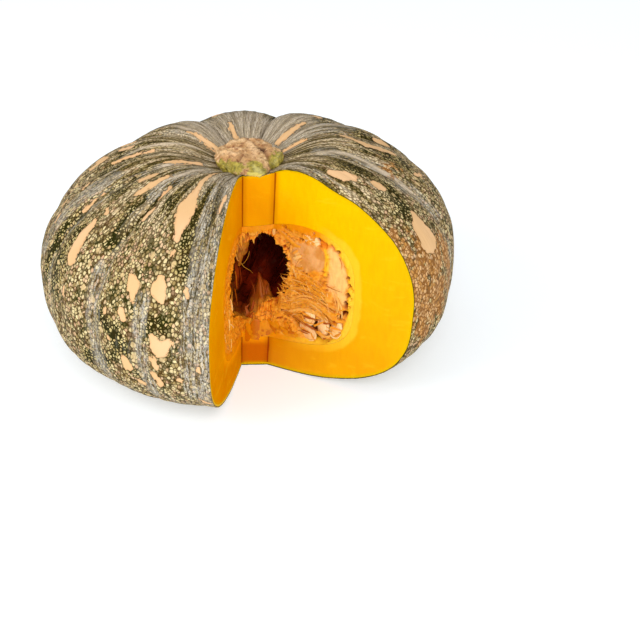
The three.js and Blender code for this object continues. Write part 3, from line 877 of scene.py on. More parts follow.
    height = plus(times(pale, 0.6), times(fine, 0.4))
    height = blend(patch, height, (0.62, 0.62, 0.62))
    height = plus(height, times(streaky, 1.1))
    return finish.shade(
        Roughness=span(fine, 0.2, 0.8, 0.5, 0.66), Normal=finish.bump(height, 0.00045, 0.8),
        Specular_IOR_Level=0.04, Specular_Tint=(1, 0.86, 0.6),
    )


# ---------------------------------------------------------------- flesh


class FleshSettings(bpy.types.PropertyGroup):
    """Colours of the flesh."""

    bright: colour("Bright", "Yellow of the firm flesh", 248, 182, 0)
    # The deep orange is laid on the cut faces as painted shade.
    deep: colour("Deep", "Orange that the flesh turns to", 186, 92, 0)
    ring: colour("Ring", "Pale flesh round the seed cavity", 248, 192, 40)


def surface_gap(points, tree):
    """How far each point is from the surface that the tree holds."""
    return np.array([tree.find_nearest(Vector(point))[3] for point in points])


def surface_tree(piece):
    """The surface of a piece, ready to be measured from."""
    places = [vertex.co for vertex in piece.data.vertices]
    return BVHTree.FromPolygons(places, [tuple(polygon.vertices) for polygon in piece.data.polygons])


# Painted shade on each cut face: how far it is laid toward the deep orange, all over and besides at its foot; and
# how each face shines.
FACE_SHADE = {"left": (0.50, 0.20), "back": (0.44, 0.56), "right": (0.02, 0.30)}
SHEEN = {"left": 0.0, "back": 0.1, "right": 0.14}


def ringed_share(along, z):
    """Where on the right cut face a pale ring runs round the seed cavity."""
    return step(along + 0.3 * (0.06 - z), 0.044, 0.062) * step(z, 0.012, 0.03)


def make_flesh(rind_thickness):
    flesh = skin_ball("firm_flesh", INNER_STEPS, rind_thickness)
    outside = surface_tree(flesh)
    hollow = formed_ball("cavity", CAVITY_STEPS, lambda azimuth, rise, unit: cavity_points(unit, 0))
    cavity = surface_tree(hollow)
    cut(flesh, hollow)
    cut_wedge_out(flesh)
    points = points_of(flesh)
    paint(flesh, "from_rind", surface_gap(points, outside))
    paint(flesh, "from_cavity", surface_gap(points, cavity))
    gaps = {face: plane_gap(points, face) for face in CUTS}
    paint(flesh, "left_crease", np.maximum(np.abs(gaps["left"]), np.abs(gaps["back"])))
    paint(flesh, "right_crease", 2 * np.maximum(np.abs(gaps["right"]), np.abs(gaps["back"])))
    nearest = np.argmax(list(gaps.values()), 0)
    along, z = along_cut("right", points), points[:, 2]
    low = 1 - step(z, 0.012, 0.105)
    face_shade = [all_over + at_foot * low for all_over, at_foot in FACE_SHADE.values()]
    # More painted shade low on the right face, near its inner end.
    face_shade[-1] += 0.34 * (1 - step(along, 0.02, 0.07)) * (1 - step(z, 0.02, 0.05))
    paint(flesh, "face_shade", np.choose(nearest, face_shade))
    paint(flesh, "lip", (nearest != 2) * (1 - step(z, 0.03, 0.05)))
    paint(flesh, "sheen", np.choose(nearest, list(SHEEN.values())))
    paint(flesh, "ringed", (nearest == 2) * ringed_share(along, z))
    smooth(flesh, 28)
    return flesh


def flesh_finish(settings):
    finish = Finish("moist flesh")
    span, times, plus, lay = finish.span, finish.times, finish.plus, finish.lay
    place = finish.place()
    broad = finish.noise(place, 0.03, 2)
    grain = finish.noise(finish.place((1, 1, 0.25)), 0.0022, 3)
    scuff = finish.noise(finish.place((0.5, 0.5, 1.6), (0.3, 0.5, 0.2)), 0.011, 4, 0.6, 1.2)
    face_shade = plus(finish.painted("face_shade"), span(broad, 0.3, 0.7, -0.07, 0.07))
    from_cavity = plus(finish.painted("from_cavity"), span(finish.noise(place, 0.009, 3), 0, 1, -0.0013, 0.0013))
    corner_shade = finish.sum("MINIMUM", finish.painted("left_crease"), finish.painted("right_crease"))
    # Painted shade: the flesh is laid from bright yellow toward the deep orange by the face shade, which carries a
    # little random tone besides.
    finish.colour = finish.blend(face_shade, settings.bright, settings.deep)
    lay(times(span(from_cavity, 0.0032, 0.0054, 0.85, 0), finish.painted("ringed")), settings.ring)
    lay(times(span(from_cavity, 0.0, 0.006, 0.85, 0), finish.painted("lip")), linear(238, 152, 6))
    lay(span(grain, 0.35, 0.75, 0.0, 0.10), linear(206, 110, 0))
    lay(span(scuff, 0.56, 0.7, 0, 0.16), linear(255, 206, 40))
    lay(span(finish.painted("from_rind"), 0.0002, 0.0018, 0.35, 0), linear(206, 172, 0))
    # Painted shade in the inside corners where the cut faces meet: a soft brown band and a thin dark line along
    # the corner.
    lay(span(corner_shade, 0.0006, 0.0036, 0.3, 0), linear(150, 60, 0))
    lay(span(corner_shade, 0.0002, 0.0007, 0.8, 0), linear(128, 30, 0))
    height = plus(finish.noise(place, 0.0016, 3), times(grain, 0.6))
    return finish.shade(
        Roughness=span(finish.noise(place, 0.012, 3), 0.3, 0.7, 0.3, 0.46),
        Normal=finish.bump(height, 0.00022, 0.5),
        Subsurface_Weight=0.08, Subsurface_Scale=0.004, Specular_IOR_Level=finish.painted("sheen"),
        Specular_Tint=(1, 0.72, 0.1),
    )


# ---------------------------------------------------------------- stem


class StemSettings(bpy.types.PropertyGroup):
    """Sizes and colours of the corky stem."""

    radius: FloatProperty(
        name="Radius", description="Half the width of the stem", default=0.020, min=0.012, max=0.03, unit="LENGTH",
    )
    cork: colour("Cork", "Pale colour of the cork", 212, 172, 118)
    # Laid in the low parts of the wrinkles as painted shade.
    wrinkle: colour("Wrinkle", "Reddish brown in the wrinkles", 140, 86, 48)
    green: colour("Green", "Yellow-green of the lobes and the sliced lobe", 176, 160, 44)


# The stem from its foot to its crown: share of its reach, and height.
STEM_ROWS = [
    (0, 0.108), (0.8, 0.108), (0.97, 0.1172), (1, 0.1204), (0.93, 0.1230), (0.68, 0.1257), (0.32, 0.1262),
    (0, 0.1255),
]
# How far the stem reaches at each azimuth; its front lobe runs on to the cut.
STEM_REACH = [
    (-180, 1.08), (-143, 1.0), (-112, 0.95), (-85, 0.93), (-57, 0.95), (-32, 1.04), (-12, 1.18), (0, 1.38),
    (14, 1.55), (26, 1.4), (38, 1.14), (46, 1.08), (57, 1.14), (72, 1.12), (86, 1.08), (110, 0.94), (130, 0.9),
    (155, 1.02), (180, 1.08),
]
# Ridges, folds and green patches of the crown: chains of places and half widths, in millimetres.
STEM_RIDGES = [
    [(1, 7, 1.2), (3, 0, 2.2), (5.5, -8, 2.2), (4.5, -13, 1.0)], [(-11, 5, 1.4), (-5, 10, 1.6), (3, 12, 1.2)],
    [(-13, -5, 1.5), (-6, -10, 1.6)], [(18, -12, 2.0), (20, -4, 1.6)], [(-8, -2, 1.3), (-3, -4, 1.2)],
]
STEM_FOLDS = [
    [(9.5, -2.5, 1.0), (12, -9, 0.9), (15.5, -18, 0.8)], [(-1, -9, 0.6), (-4, -17, 0.6)],
    [(-8, 1, 0.6), (-16, 3, 0.6)], [(10, 4, 0.7), (16, 8, 0.7)], [(0, 11, 0.5), (2, 18, 0.6)],
]
STEM_GREEN = [
    [(-18, -8, 1.6), (-9, -18, 2.6), (-3, -22, 3.0)], [(5, -21, 4.5), (8, -28, 7.0)],
    [(16, -14, 4.2), (20, -4, 3.2)],
]
STEM_PIT = (0.0085, -0.0005)
STEM_FOOT = 0.09
STEM_FRONT = 0.06
STEM_SETBACK = 0.0002  # the stem lies this far behind the other cuts
BODY_OVERLAP = 0.00005  # keeps the stem just off the skin
DOUBLE_GAP = 0.00002


def stem_marks(points):
    """Where points are across the growth axis, how far they lie inside chains, and how deep in the pit."""
    x, y = (points - GROWTH_AXIS)[:, :2].T

    def chained(chains, low, high):
        return step(chain_field(x * 1000, y * 1000, chains), low, high)

    def pitted(width):
        return np.exp(-(((x - STEM_PIT[0]) ** 2 + (y - STEM_PIT[1]) ** 2) / width ** 2))

    return x, y, chained, pitted


def stem_points(azimuth, rise, radius):
    share, height = (np.interp(rise * 7, range(8), column) for column in zip(*STEM_ROWS))
    turn = np.radians(azimuth)
    reach = share * radius * np.interp(azimuth, *zip(*STEM_REACH))
    points = np.stack([reach * np.sin(turn), -reach * np.cos(turn), height], 1) + GROWTH_AXIS
    x, y, chained, pitted = stem_marks(points)
    folds = 0.5 - 2 * np.abs(roughness_at(points * (1, 1, 0.6), 0.0055, 8, 3))
    knobs = roughness_at(points, 0.0024, 11, 2)
    raised, folded = chained(STEM_RIDGES, -1.6, 1.6), chained(STEM_FOLDS, -1.2, 0.9)
    lift = 0.0006 * folds + 0.0006 * knobs - 0.0032 * pitted(0.0024) + 0.0008 * raised - 0.0015 * folded - 0.0003
    points[:, 2] += step(rise, 0.38, 0.5) * lift
    outward = (0.0008 * folds + 0.0006 * knobs - 0.0003) * step(share, 0.3, 0.8)
    points[:, 0] += outward * np.sin(turn)
    points[:, 1] -= outward * np.cos(turn)
    slope = 0.1267 - 0.27 * np.maximum(np.hypot(x, y) - 0.010, 0) + 0.0003 * knobs
    points[:, 2] = np.minimum(points[:, 2], slope)
    return points


def make_stem(settings):
    def form(azimuth, rise, unit):
        return stem_points(azimuth, rise, settings.radius)

    stem = formed_ball("stem_cork", STEM_STEPS, form)
    cut(stem, skin_ball("body_under_stem", INNER_STEPS, -BODY_OVERLAP))
    cut(stem, knife_wedge(
        "stem_knife", steps=40, low=STEM_FOOT, high=CUT_TOP, front=STEM_FRONT, relief=knife_marks,
        growth=STEM_SETBACK,
    ))
    make_active(stem)
    bpy.ops.object.mode_set(mode="EDIT")
    bpy.ops.mesh.select_all(action="SELECT")
    bpy.ops.mesh.remove_doubles(threshold=DOUBLE_GAP)
    bpy.ops.mesh.normals_make_consistent(inside=False)
    bpy.ops.object.mode_set(mode="OBJECT")
    points = points_of(stem)
    x, y, chained, pitted = stem_marks(points)
    paint(stem, "behind", behind_cuts(points))
    paint(stem, "green", chain_field(x * 1000, y * 1000, STEM_GREEN))
    paint(stem, "raised", chained(STEM_RIDGES, -1.2, 1.4))
    paint(stem, "folded", chained(STEM_FOLDS, -1.2, 0.6))
    paint(stem, "pit", pitted(0.003))
    smooth(stem, 60)
    return stem


def stem_finish(settings):
    finish = Finish("corky stem")
    span, times, lay = finish.span, finish.times, finish.lay
    place = finish.place()
    broad = finish.noise(place, 0.009, 3)
    wrinkle = finish.noise(finish.place((1.5, 1.5, 0.7)), 0.0032, 4, 0.65)
    fine = finish.noise(place, 0.0007, 3)
    spread = finish.plus(finish.painted("green"), span(finish.noise(place, 0.003, 3), 0, 1, -2.2, 2.2))
    green = finish.blend(span(wrinkle, 0.38, 0.62), linear(120, 112, 24), settings.green)
    green = finish.blend(span(spread, 2.6, 5.5, 0, 0.6), green, linear(214, 204, 124))
    finish.colour = finish.blend(span(broad, 0.35, 0.65), settings.cork, linear(196, 146, 92))
    # Painted highlight, pale tan, on the high parts of the wrinkles, and painted shade, reddish brown, in their
    # low parts.
    lay(span(wrinkle, 0.54, 0.68, 0, 0.8), linear(250, 214, 166))
    lay(span(wrinkle, 0.34, 0.48, 0.9, 0), settings.wrinkle)
    lay(span(fine, 0.3, 0.75, 0.25, 0), linear(120, 74, 42))
    # Painted highlight on the ridges and painted shade in the folds.
    lay(times(finish.painted("raised"), span(wrinkle, 0.3, 0.6, 0.2, 0.75)), linear(246, 206, 156))
    lay(times(finish.painted("folded"), 0.6), linear(132, 76, 40))
    lay(span(spread, -0.4, 1.6, 0, 0.9), green)
    # Painted shade in the pit.
    lay(span(finish.painted("pit"), 0.25, 0.85, 0, 0.9), linear(78, 40, 14))
    lay(span(finish.painted("behind"), 0.0004, 0.0008, 0.8, 0), linear(206, 192, 92))
    height = finish.plus(wrinkle, times(fine, 0.3))
    rough = finish.blend(span(spread, 0.5, 2.5), (0.8, 0.8, 0.8), (0.4, 0.4, 0.4))
    return finish.shade(Roughness=rough, Normal=finish.bump(height, 0.0009, 0.9))


# ---------------------------------------------------------------- strands

# Every strand is a six-sided rod, closed at both ends, that is copied and bent along its own route.


def along_route(route, share):
    """Points and directions at even shares along a smooth curve through the route's points."""
    route = np.asarray(route, float)
    padded = np.vstack([2 * route[0] - route[1], route, 2 * route[-1] - route[-2]])
    spans = len(route) - 1
    at = np.clip(share, 0, 1) * spans
    index = np.minimum(at.astype(int), spans - 1)
    t = (at - index)[:, None]
    p0, p1, p2, p3 = (padded[index + i] for i in range(4))
    square, cube = 2 * p0 - 5 * p1 + 4 * p2 - p3, 3 * p1 - p0 - 3 * p2 + p3
    place = 0.5 * (2 * p1 + (p2 - p0) * t + square * t ** 2 + cube * t ** 3)
    way = 0.5 * ((p2 - p0) + 2 * square * t + 3 * cube * t ** 2)
    way /= np.maximum(np.linalg.norm(way, axis=1), 1e-9)[:, None]
    return place, way


class Strands:
    """Strands of pulp that are copied from one rod and joined to a piece at the end."""

    def __init__(self, name, random):
        self.random = random
        self.rod = formed_ball(name, STRAND_STEPS, lambda azimuth, rise, unit: unit)
        unit = points_of(self.rod)
        self.share = 0.5 + np.arcsin(np.clip(unit[:, 2], -1, 1)) / math.pi
        self.turn = np.arctan2(unit[:, 1], unit[:, 0])
        self.copies = []

    def add(self, route, width, thick, facing, tone, root=0.85, tip=0.3, twist=0.0, lit=0.0):
        """One strand along a route: its half width and half thickness at the middle, the way its flat
        side faces, its tone from 0 (dark) to 1 (pale) or 2 (flesh), how thick its ends are, how far it
        twists, and how much of its tone it keeps against the painted shade in the depth of the open space."""
        copy = copied(self.rod, self.rod.name)
        place, way = along_route(route, self.share)
        side = np.cross(way, np.asarray(facing, float))
        side /= np.maximum(np.linalg.norm(side, axis=1), 1e-9)[:, None]
        over = np.cross(side, way)
        ends = np.clip(np.minimum(self.share, 1 - self.share) / 0.08, 0, 1) ** 0.5
        swell = (root + (tip - root) * self.share ** 1.3) * (0.75 + 0.35 * np.sin(math.pi * self.share)) * ends
        angle = self.turn + twist * self.share
        reach = np.cos(angle)[:, None] * side * width + np.sin(angle)[:, None] * over * thick
        place_points(copy, place + reach * swell[:, None])
        paint(copy, "tone", np.full(len(self.share), tone))
        paint(copy, "lit", np.full(len(self.share), lit))
        self.copies.append(copy)

    def join_to(self, piece):
        make_active(piece)
        for copy in self.copies:
            copy.select_set(True)
        bpy.ops.object.join()
        bpy.data.objects.remove(self.rod)


# ---------------------------------------------------------------- pulp


class PulpSettings(bpy.types.PropertyGroup):
    """Amounts and colours of the stringy pulp."""

    face_strands: IntProperty(
        name="Face strands", description="Strands that fan over the right cut face", default=190, min=0, max=400,
    )
    hanging_strands: IntProperty(
        name="Hanging strands", description="Strands that hang in the open space", default=44, min=0, max=120,
    )
    seed: IntProperty(name="Seed", description="Another scatter of the strands", default=7, min=0, max=9999)
    fibre: colour("Fibre", "Orange of the strands", 242, 156, 36)
    pale: colour("Pale", "Peach of the smooth skins and palest strands", 250, 196, 116)
    # The maroon is laid on as painted shade.
    deep: colour("Deep", "Maroon in the depth of the open space", 138, 42, 10)


def void_points(unit, ragged):
    """The wall of the open space in the pulp, with folds that run down it and a ragged surface."""
    azimuth = np.arctan2(unit[:, 0], -unit[:, 1])
    level = np.hypot(unit[:, 0], unit[:, 1])
    fold = np.sin(7 * azimuth + 1.4 * unit[:, 2]) + 0.5 * np.sin(13 * azimuth - 3 * unit[:, 2])
    ridge = 0.5 * np.sin(31 * azimuth + 4 * unit[:, 2]) + 0.5 * np.sin(47 * azimuth - 6 * unit[:, 2])
    swell = 1 + level * (0.09 * fold + 0.018 * ridge)
    points = VOID_CENTRE + VOID_RADII * unit * swell[:, None] + GROWTH_AXIS
    push = 0.0016 * roughness_at(points, 0.007, 12, 3) + 0.0011 * roughness_at(points, 0.0026, 13, 2)
    wavy = 0.003 * np.sin(points[:, 0] * 1100 + 0.6)
    points[:, 2] += fold_share(points, STANDING_FOLD) * np.maximum(-unit[:, 2], 0) * (0.021 + wavy)
    points[:, 2] -= fold_share(points, HANGING_FOLD) * np.maximum(unit[:, 2], 0) * (0.027 + wavy)
    return points + unit * (push * ragged)[:, None]


# The block of pulp that the knife reaches.
PULP_BOTTOM = 0.013
PULP_TOP = 0.104
PULP_FRONT = 0.097
PULP_INSET = 0.00012  # keeps the pulp just off the flesh

# Two torn folds of pulp in the open space: middle, lean, half width and half depth, in metres.
STANDING_FOLD = (0.0058, -0.0185, 0.25, 0.0062, 0.0085)
HANGING_FOLD = (-0.0066, -0.0200, -0.10, 0.0076, 0.0080)


def fold_share(points, fold):
    """From 0 to 1, how far points belong to a fold."""
    x, y = (points - GROWTH_AXIS)[:, 0] - fold[0], (points - GROWTH_AXIS)[:, 1] - fold[1]
    return np.exp(-(np.abs(x + fold[2] * y) / fold[3]) ** 3 - (y / fold[4]) ** 2)


EMPTY_SOCKETS = [
    (69.6, 82.6, 1.5), (76.6, 68.4, 1.2), (77.4, 63.2, 1.3), (79, 61.5, 0.9), (76.6, 57.6, 1.6), (78.6, 56, 0.9),
    (75.2, 51.8, 1.6), (77.6, 50.6, 0.8), (73, 45.6, 1.4), (75.4, 46.6, 1.5), (71.4, 42.8, 1.5), (71.2, 37.6, 1.5),
    (73, 36.4, 0.9), (53.4, 90.3, 0.9), (55.4, 87, 1.3), (34.5, 90.2, 0.9), (44.8, 86.6, 1.0), (46, 84.8, 0.7),
    (54, 56, 1.0), (50.6, 57.4, 0.7), (60, 51.4, 0.8), (63.4, 49.6, 0.7), (57, 53.4, 0.6),
]
# Marks on the right cut face: chains of distance along it, height, and half width, in millimetres.
FACE_MARKS = {
    "tan": [[(42.5, 73.5, 5.0), (48, 74.2, 9.0), (55, 75.3, 7.8)]],
    "peach": [[(65, 81.5, 2.6), (69, 77, 4.8), (69.6, 69, 6.4), (69, 61, 6.2), (71.5, 54.5, 3.6)]],
    "seam": [[(60.8, 83.5, 1.0), (62.2, 77.5, 1.6), (61.8, 70, 1.8), (61.4, 66.5, 1.4)]],
    "orange": [[(56.8, 86.2, 1.7), (61, 84.6, 1.9)], [(64.5, 85.5, 1.0), (66, 83.6, 1.2)]],
    "seeds": [
        [(44, 36, 2.2), (50, 37.5, 2.2)], [(48, 31.5, 3.5), (54, 31, 6.8), (61.5, 31, 6.6), (68, 32, 4.2)],
        [(42, 33, 1.6), (47, 30, 2.4)],
    ],
    "socket": [[socket] for socket in EMPTY_SOCKETS],
}


def chain_field(along, z, chains):
    """How far points on a cut face lie inside the nearest chain, in millimetres."""
    field = np.full(len(along), -30.0)
    for chain in chains:
        for (along_0, z_0, half_0), (along_1, z_1, half_1) in zip(chain, chain[1:] or [chain[0]]):
            run = along_1 - along_0, z_1 - z_0
            length = max(run[0] ** 2 + run[1] ** 2, 1e-9)
            share = np.clip(((along - along_0) * run[0] + (z - z_0) * run[1]) / length, 0, 1)
            apart = np.hypot(along - along_0 - share * run[0], z - z_0 - share * run[1])
            field = np.maximum(field, half_0 + (half_1 - half_0) * share - apart)
    return field


def flow_ridges(along, z, seed, size=0.9, stretch=7.0, slope=-17.0):
    """Ridges of -1 to 1 that run along the way the strands lie on a cut face (millimetres)."""
    turn = math.radians(slope)
    run = (along * math.cos(turn) + z * math.sin(turn)) / stretch
    across = (z * math.cos(turn) - along * math.sin(turn) + 1.6 * np.sin(along / 7.0)) / size
    points = np.stack([run, across, np.full(len(along), seed * 3.1)], 1)
    return 1 - 2 * np.abs([noise.fractal(Vector(point) * 0.55, 0.7, 2.1, 3) for point in points])


class PulpFace:
    """What a cut face of the pulp looks like, worked out at points on it."""

    def __init__(self, face, points, cavity):
        self.along = along_cut(face, points) * 1000
        self.z = points[:, 2] * 1000
        self.from_wall = surface_gap(points, cavity) * 1000
        lie = {"right": -17.0, "back": 78.0, "left": 60.0}[face]
        self.ridges = flow_ridges(self.along, self.z, len(face), slope=lie)
        self.fine = flow_ridges(self.along, self.z, len(face) + 4, 0.45, 4.0, lie + 12)
        self.lumps = roughness_at(points, 0.005, 21, 2)
        self.marks = {
            mark: chain_field(self.along, self.z, chains if face == "right" else [])
            for mark, chains in FACE_MARKS.items()
        }

    def recess(self):
        """How far behind the knife the pulp lies, in metres."""
        ragged = 0.6 * self.lumps
        inner = step(self.from_wall + ragged, 2.4, 5.5)
        skins = step(np.maximum(self.marks["tan"], self.marks["peach"]) + ragged, -0.9, 0.6)
        stringy = 1.8 - 1.4 * self.ridges - 0.5 * self.fine + 1.1 * self.lumps
        smooth_skin = 1.1 + 0.5 * self.lumps
        deep = inner * (stringy + (smooth_skin - stringy) * skins)
        deep += 2.2 * step(self.marks["orange"] + ragged, -0.4, 1.0)
        deep += 6.2 * step(self.marks["seeds"] + 1.3 * self.lumps, -0.6, 2.6)
        deep += 4.6 * step(self.marks["socket"] + 0.25 * self.lumps, -0.25, 0.75)
        deep -= 0.5 * step(self.marks["seam"], -0.5, 0.8)
        return np.maximum(deep, 0.05 * inner) / 1000


def pulp_relief(cavity):
    return lambda face, points: PulpFace(face, points, cavity).recess()


def make_pulp(settings):
    pulp = formed_ball("stringy_pulp", CAVITY_STEPS, lambda azimuth, rise, unit: cavity_points(unit, PULP_INSET))
    cavity = surface_tree(pulp)
    cut(pulp, formed_ball("open_space", VOID_STEPS, lambda azimuth, rise, unit: void_points(unit, 1)))
    cut(pulp, knife_wedge(
        "pulp_knife", steps=128, low=PULP_BOTTOM, high=PULP_TOP, front=PULP_FRONT, relief=pulp_relief(cavity),
    ))
    paint(pulp, "tone", np.full(len(pulp.data.vertices), -1.0))
    points = points_of(pulp)
    # Painted as lit: the left wall and the two folds keep a share of their colour against the painted shade.
    left_wall = 0.42 * (1 - step(points[:, 0], -0.014, -0.004))
    standing = (points[:, 2] < 0.06) * fold_share(points, STANDING_FOLD)
    hanging = (points[:, 2] > 0.056) * fold_share(points, HANGING_FOLD)
    paint(pulp, "lit", np.maximum(left_wall, np.maximum(0.2 * standing, 0.5 * hanging)))
    strands = Strands("strand_rod", np.random.RandomState(settings.seed))
    add_face_strands(strands, settings.face_strands)
    add_torn_edge(strands)
    add_flames(strands)
    add_hanging_strands(strands, settings.hanging_strands)
    add_curtains(strands)
    add_rags(strands)
    add_left_strands(strands)
    strands.join_to(pulp)
    paint_pulp(pulp, cavity)
    smooth(pulp, 60)
    return pulp


def paint_pulp(pulp, cavity):
    points = points_of(pulp)
    z = points[:, 2]
    tone = np.zeros(len(points))
    pulp.data.attributes["tone"].data.foreach_get("value", tone)
    wall = tone < 0
    gaps = {face: plane_gap(points, face) for face in CUTS}
    behind = behind_cuts(points)
    right = PulpFace("right", points, cavity)
    marks = right.marks
    on_right = step(-np.abs(gaps["right"]), -0.014, -0.009) * (np.abs(gaps["right"]) <= behind + 0.004)
    standing = step(fold_share(points, STANDING_FOLD), 0.06, 0.4) * (z > 0.029) * (z < 0.062)
    hanging = step(fold_share(points, HANGING_FOLD), 0.06, 0.4) * (z > 0.056) * (z < 0.084)
    seeds = on_right * step(marks["seeds"], -0.6, 2.2)
    for name, values in {
        "skin_tan": on_right * step(marks["tan"] + 1.4 * right.lumps, -0.9, 1.2),
        "skin_peach": on_right * step(marks["peach"] + 1.6 * right.lumps, -1.2, 1.4),
        "seam": on_right * step(marks["seam"] + 0.5 * right.lumps, -0.5, 0.9),
        "orange": on_right * step(marks["orange"], -0.8, 0.8),
        # The sockets and the hollow below are painted shade: the empty seed sockets, the seed pockets, and the two
        # folds in the open space.
        "socket": on_right * step(marks["socket"], -0.45, 0.35),
        "hollow": np.maximum(seeds, np.maximum(0.95 * standing, 0.55 * hanging)),
    }.items():
        paint(pulp, name, np.where(wall, values, 0))
    paint(pulp, "ridge", np.clip(0.5 + 0.5 * right.ridges, 0, 1))
    paint(pulp, "behind", behind)
    paint(pulp, "from_wall", right.from_wall / 1000)
    paint(pulp, "ringed", on_right * ringed_share(right.along / 1000, z))
    on_left = step(-np.abs(gaps["left"]), -0.010, -0.005) * step(-points[:, 1], 0.028, 0.034)
    paint(pulp, "on_left", on_left)


def face_route(face, random, guide, spread, behind):
    """A route along a guide on a cut face, strayed a little from it. Guides are in millimetres."""
    guide = np.asarray(guide, float)
    sweep = random.normal(0, spread, 2)
    route = []
    for i, (along, z) in enumerate(guide):
        share = i / (len(guide) - 1)
        stray = sweep[0] * (1 - share) + sweep[1] * share + random.normal(0, min(spread * 0.32, 0.4))
        turn = math.atan2(guide[-1][1] - guide[0][1], guide[-1][0] - guide[0][0])
        depth = max(behind + random.uniform(-0.3, 0.5), 0.3)
        place = along - math.sin(turn) * stray, z + math.cos(turn) * stray
        route.append(on_cut(face, place[0] / 1000, place[1] / 1000, depth / 1000))
    return np.array(route)


def crossing(along, z, turn, reach, reach_up=None, aside=0.0, lift=0.0):
    """A guide through a place on a cut face, at a slope in degrees, that reaches as far to each side.
    Its middle may be moved a little."""
    turn = math.radians(turn)
    run, rise = math.cos(turn) * reach, math.sin(turn) * (reach if reach_up is None else reach_up)
    return [(along - run, z - rise), (along + aside, z + lift), (along + run, z + rise)]


def way_out(face):
    """The way a cut face looks."""
    return on_cut(face, 0, 0, -1) - on_cut(face, 0, 0, 0)


# The ways that bundles of strands run over the right cut face, from the open space outward: spread,
# share of the strands, tone, and the way in millimetres along and up.
BUNDLES = [
    (1.2, 0.07, 0.66, [(40, 64), (48, 62.4), (56, 59.6), (63, 55)]),
    (2.2, 0.14, 0.52, [(36.5, 58), (45, 58.5), (56, 56), (68, 50)]),
    (2.4, 0.14, 0.60, [(36, 50), (45, 54), (56, 52), (68, 45)]),
    (2.0, 0.12, 0.66, [(38, 46), (48, 50), (58, 47.5), (68, 41)]),
    (1.6, 0.10, 0.72, [(39, 42), (48, 45.5), (57, 44), (65.5, 39)]),
    (1.2, 0.08, 0.80, [(38, 39), (46, 41.8), (54, 41.6), (62, 38.6)]),
    (1.8, 0.07, 0.55, [(32, 40), (37, 40.5), (44, 39), (50, 36.5)]),
    (1.6, 0.06, 0.45, [(33, 34), (39, 36.5), (45, 35.5), (50, 33)]),
    (1.2, 0.05, 0.78, [(66, 58), (70, 53), (71.5, 47), (70.5, 41)]),
    (1.2, 0.06, 0.66, [(30, 86), (36, 83.5), (41, 80.5), (45, 79)]),
    (1.2, 0.05, 0.60, [(34, 89.5), (41, 88), (48, 87), (54, 84.5)]),
    (0.8, 0.03, 0.50, [(56, 31), (61, 28), (66, 29), (70, 32)]),
]
# Threads and lines over the smooth skins: the way, tone and width.
SKIN_THREADS = [
    ([(61.6, 84), (62.6, 78), (62.4, 72), (64.2, 67)], 0.35, 0.0002),
    ([(62, 60.6), (67, 59.3), (73, 58.9)], 0.2, 0.00022),
    ([(57, 66.5), (54.5, 63.8), (58, 62)], 0.4, 0.00022),
    ([(70, 79.6), (72, 76), (71.6, 72)], 0.25, 0.0002),
    ([(36.4, 64.4), (39.6, 66), (42, 63.6), (43, 60)], 0.95, 0.00042),
    ([(35.4, 67.2), (38, 67.6), (40, 65.4)], 0.9, 0.00026),
]
SEED_FIBRES = 26


def add_face_strands(strands, count):
    random, facing = strands.random, way_out("right")
    for spread, share, tone, guide in BUNDLES:
        for _ in range(round(share * count)):
            route = face_route("right", random, guide, spread, random.uniform(0.3, 2.0))
            low, high = sorted(random.uniform(0, 1, 2))
            if high - low < 0.45:
                low, high = 0.0, 1.0
            ends, _ = along_route(route, np.linspace(low, high, 4))
            flat = random.uniform() < 0.55
            width = random.uniform(0.0005, 0.0014) if flat else random.uniform(0.00014, 0.00034)
            own_tone = (tone - 0.08 if flat else tone) + random.normal(0, 0.12 if flat else 0.28)
            strands.add(
                ends, width, width * (0.22 if flat else 0.8), facing, np.clip(own_tone, 0, 1), root=0.8,
                tip=random.uniform(0.25, 0.8), twist=random.uniform(-0.5, 0.5),
            )
    # Short threads that cross the bundles.
    for _ in range(round(0.4 * count)):
        along, z = random.uniform(36, 68), random.uniform(36, 62)
        guide = crossing(along, z, random.uniform(-80, 40), random.uniform(1.5, 5), lift=random.uniform(-1, 1))
        width = random.uniform(0.00014, 0.0003)
        route = face_route("right", random, guide, 0.2, 0.5)
        strands.add(route, width * 1.3, width, facing, random.uniform(0.3, 0.95), tip=0.2)
    # Fibres that cross over the seeds.
    for _ in range(SEED_FIBRES):
        along, z = random.uniform(43, 71), random.uniform(25, 39)
        guide = crossing(along, z, random.uniform(-60, 50), random.uniform(2, 5))
        width = random.uniform(0.0002, 0.0007)
        route = face_route("right", random, guide, 0.5, 0.2)
        strands.add(route, width * 1.6, width * 0.6, facing, random.uniform(0.05, 0.6), tip=0.3)
    for guide, tone, width in SKIN_THREADS:
        strands.add(face_route("right", random, guide, 0.1, 0.4), width * 1.4, width, facing, tone, tip=0.35)


# The torn edge of the open space on the right cut face, in millimetres along and up.
TORN_EDGE = [
    (25.5, 88), (29, 84.5), (33, 81.5), (37, 78.6), (41, 76), (43, 72), (43.6, 67.6), (41.5, 64), (37.5, 61),
    (36, 56), (34.8, 51.5), (33.8, 47.5), (32.4, 43.5), (30.4, 39.5), (28, 35.5),
]
TORN_SHREDS = 74


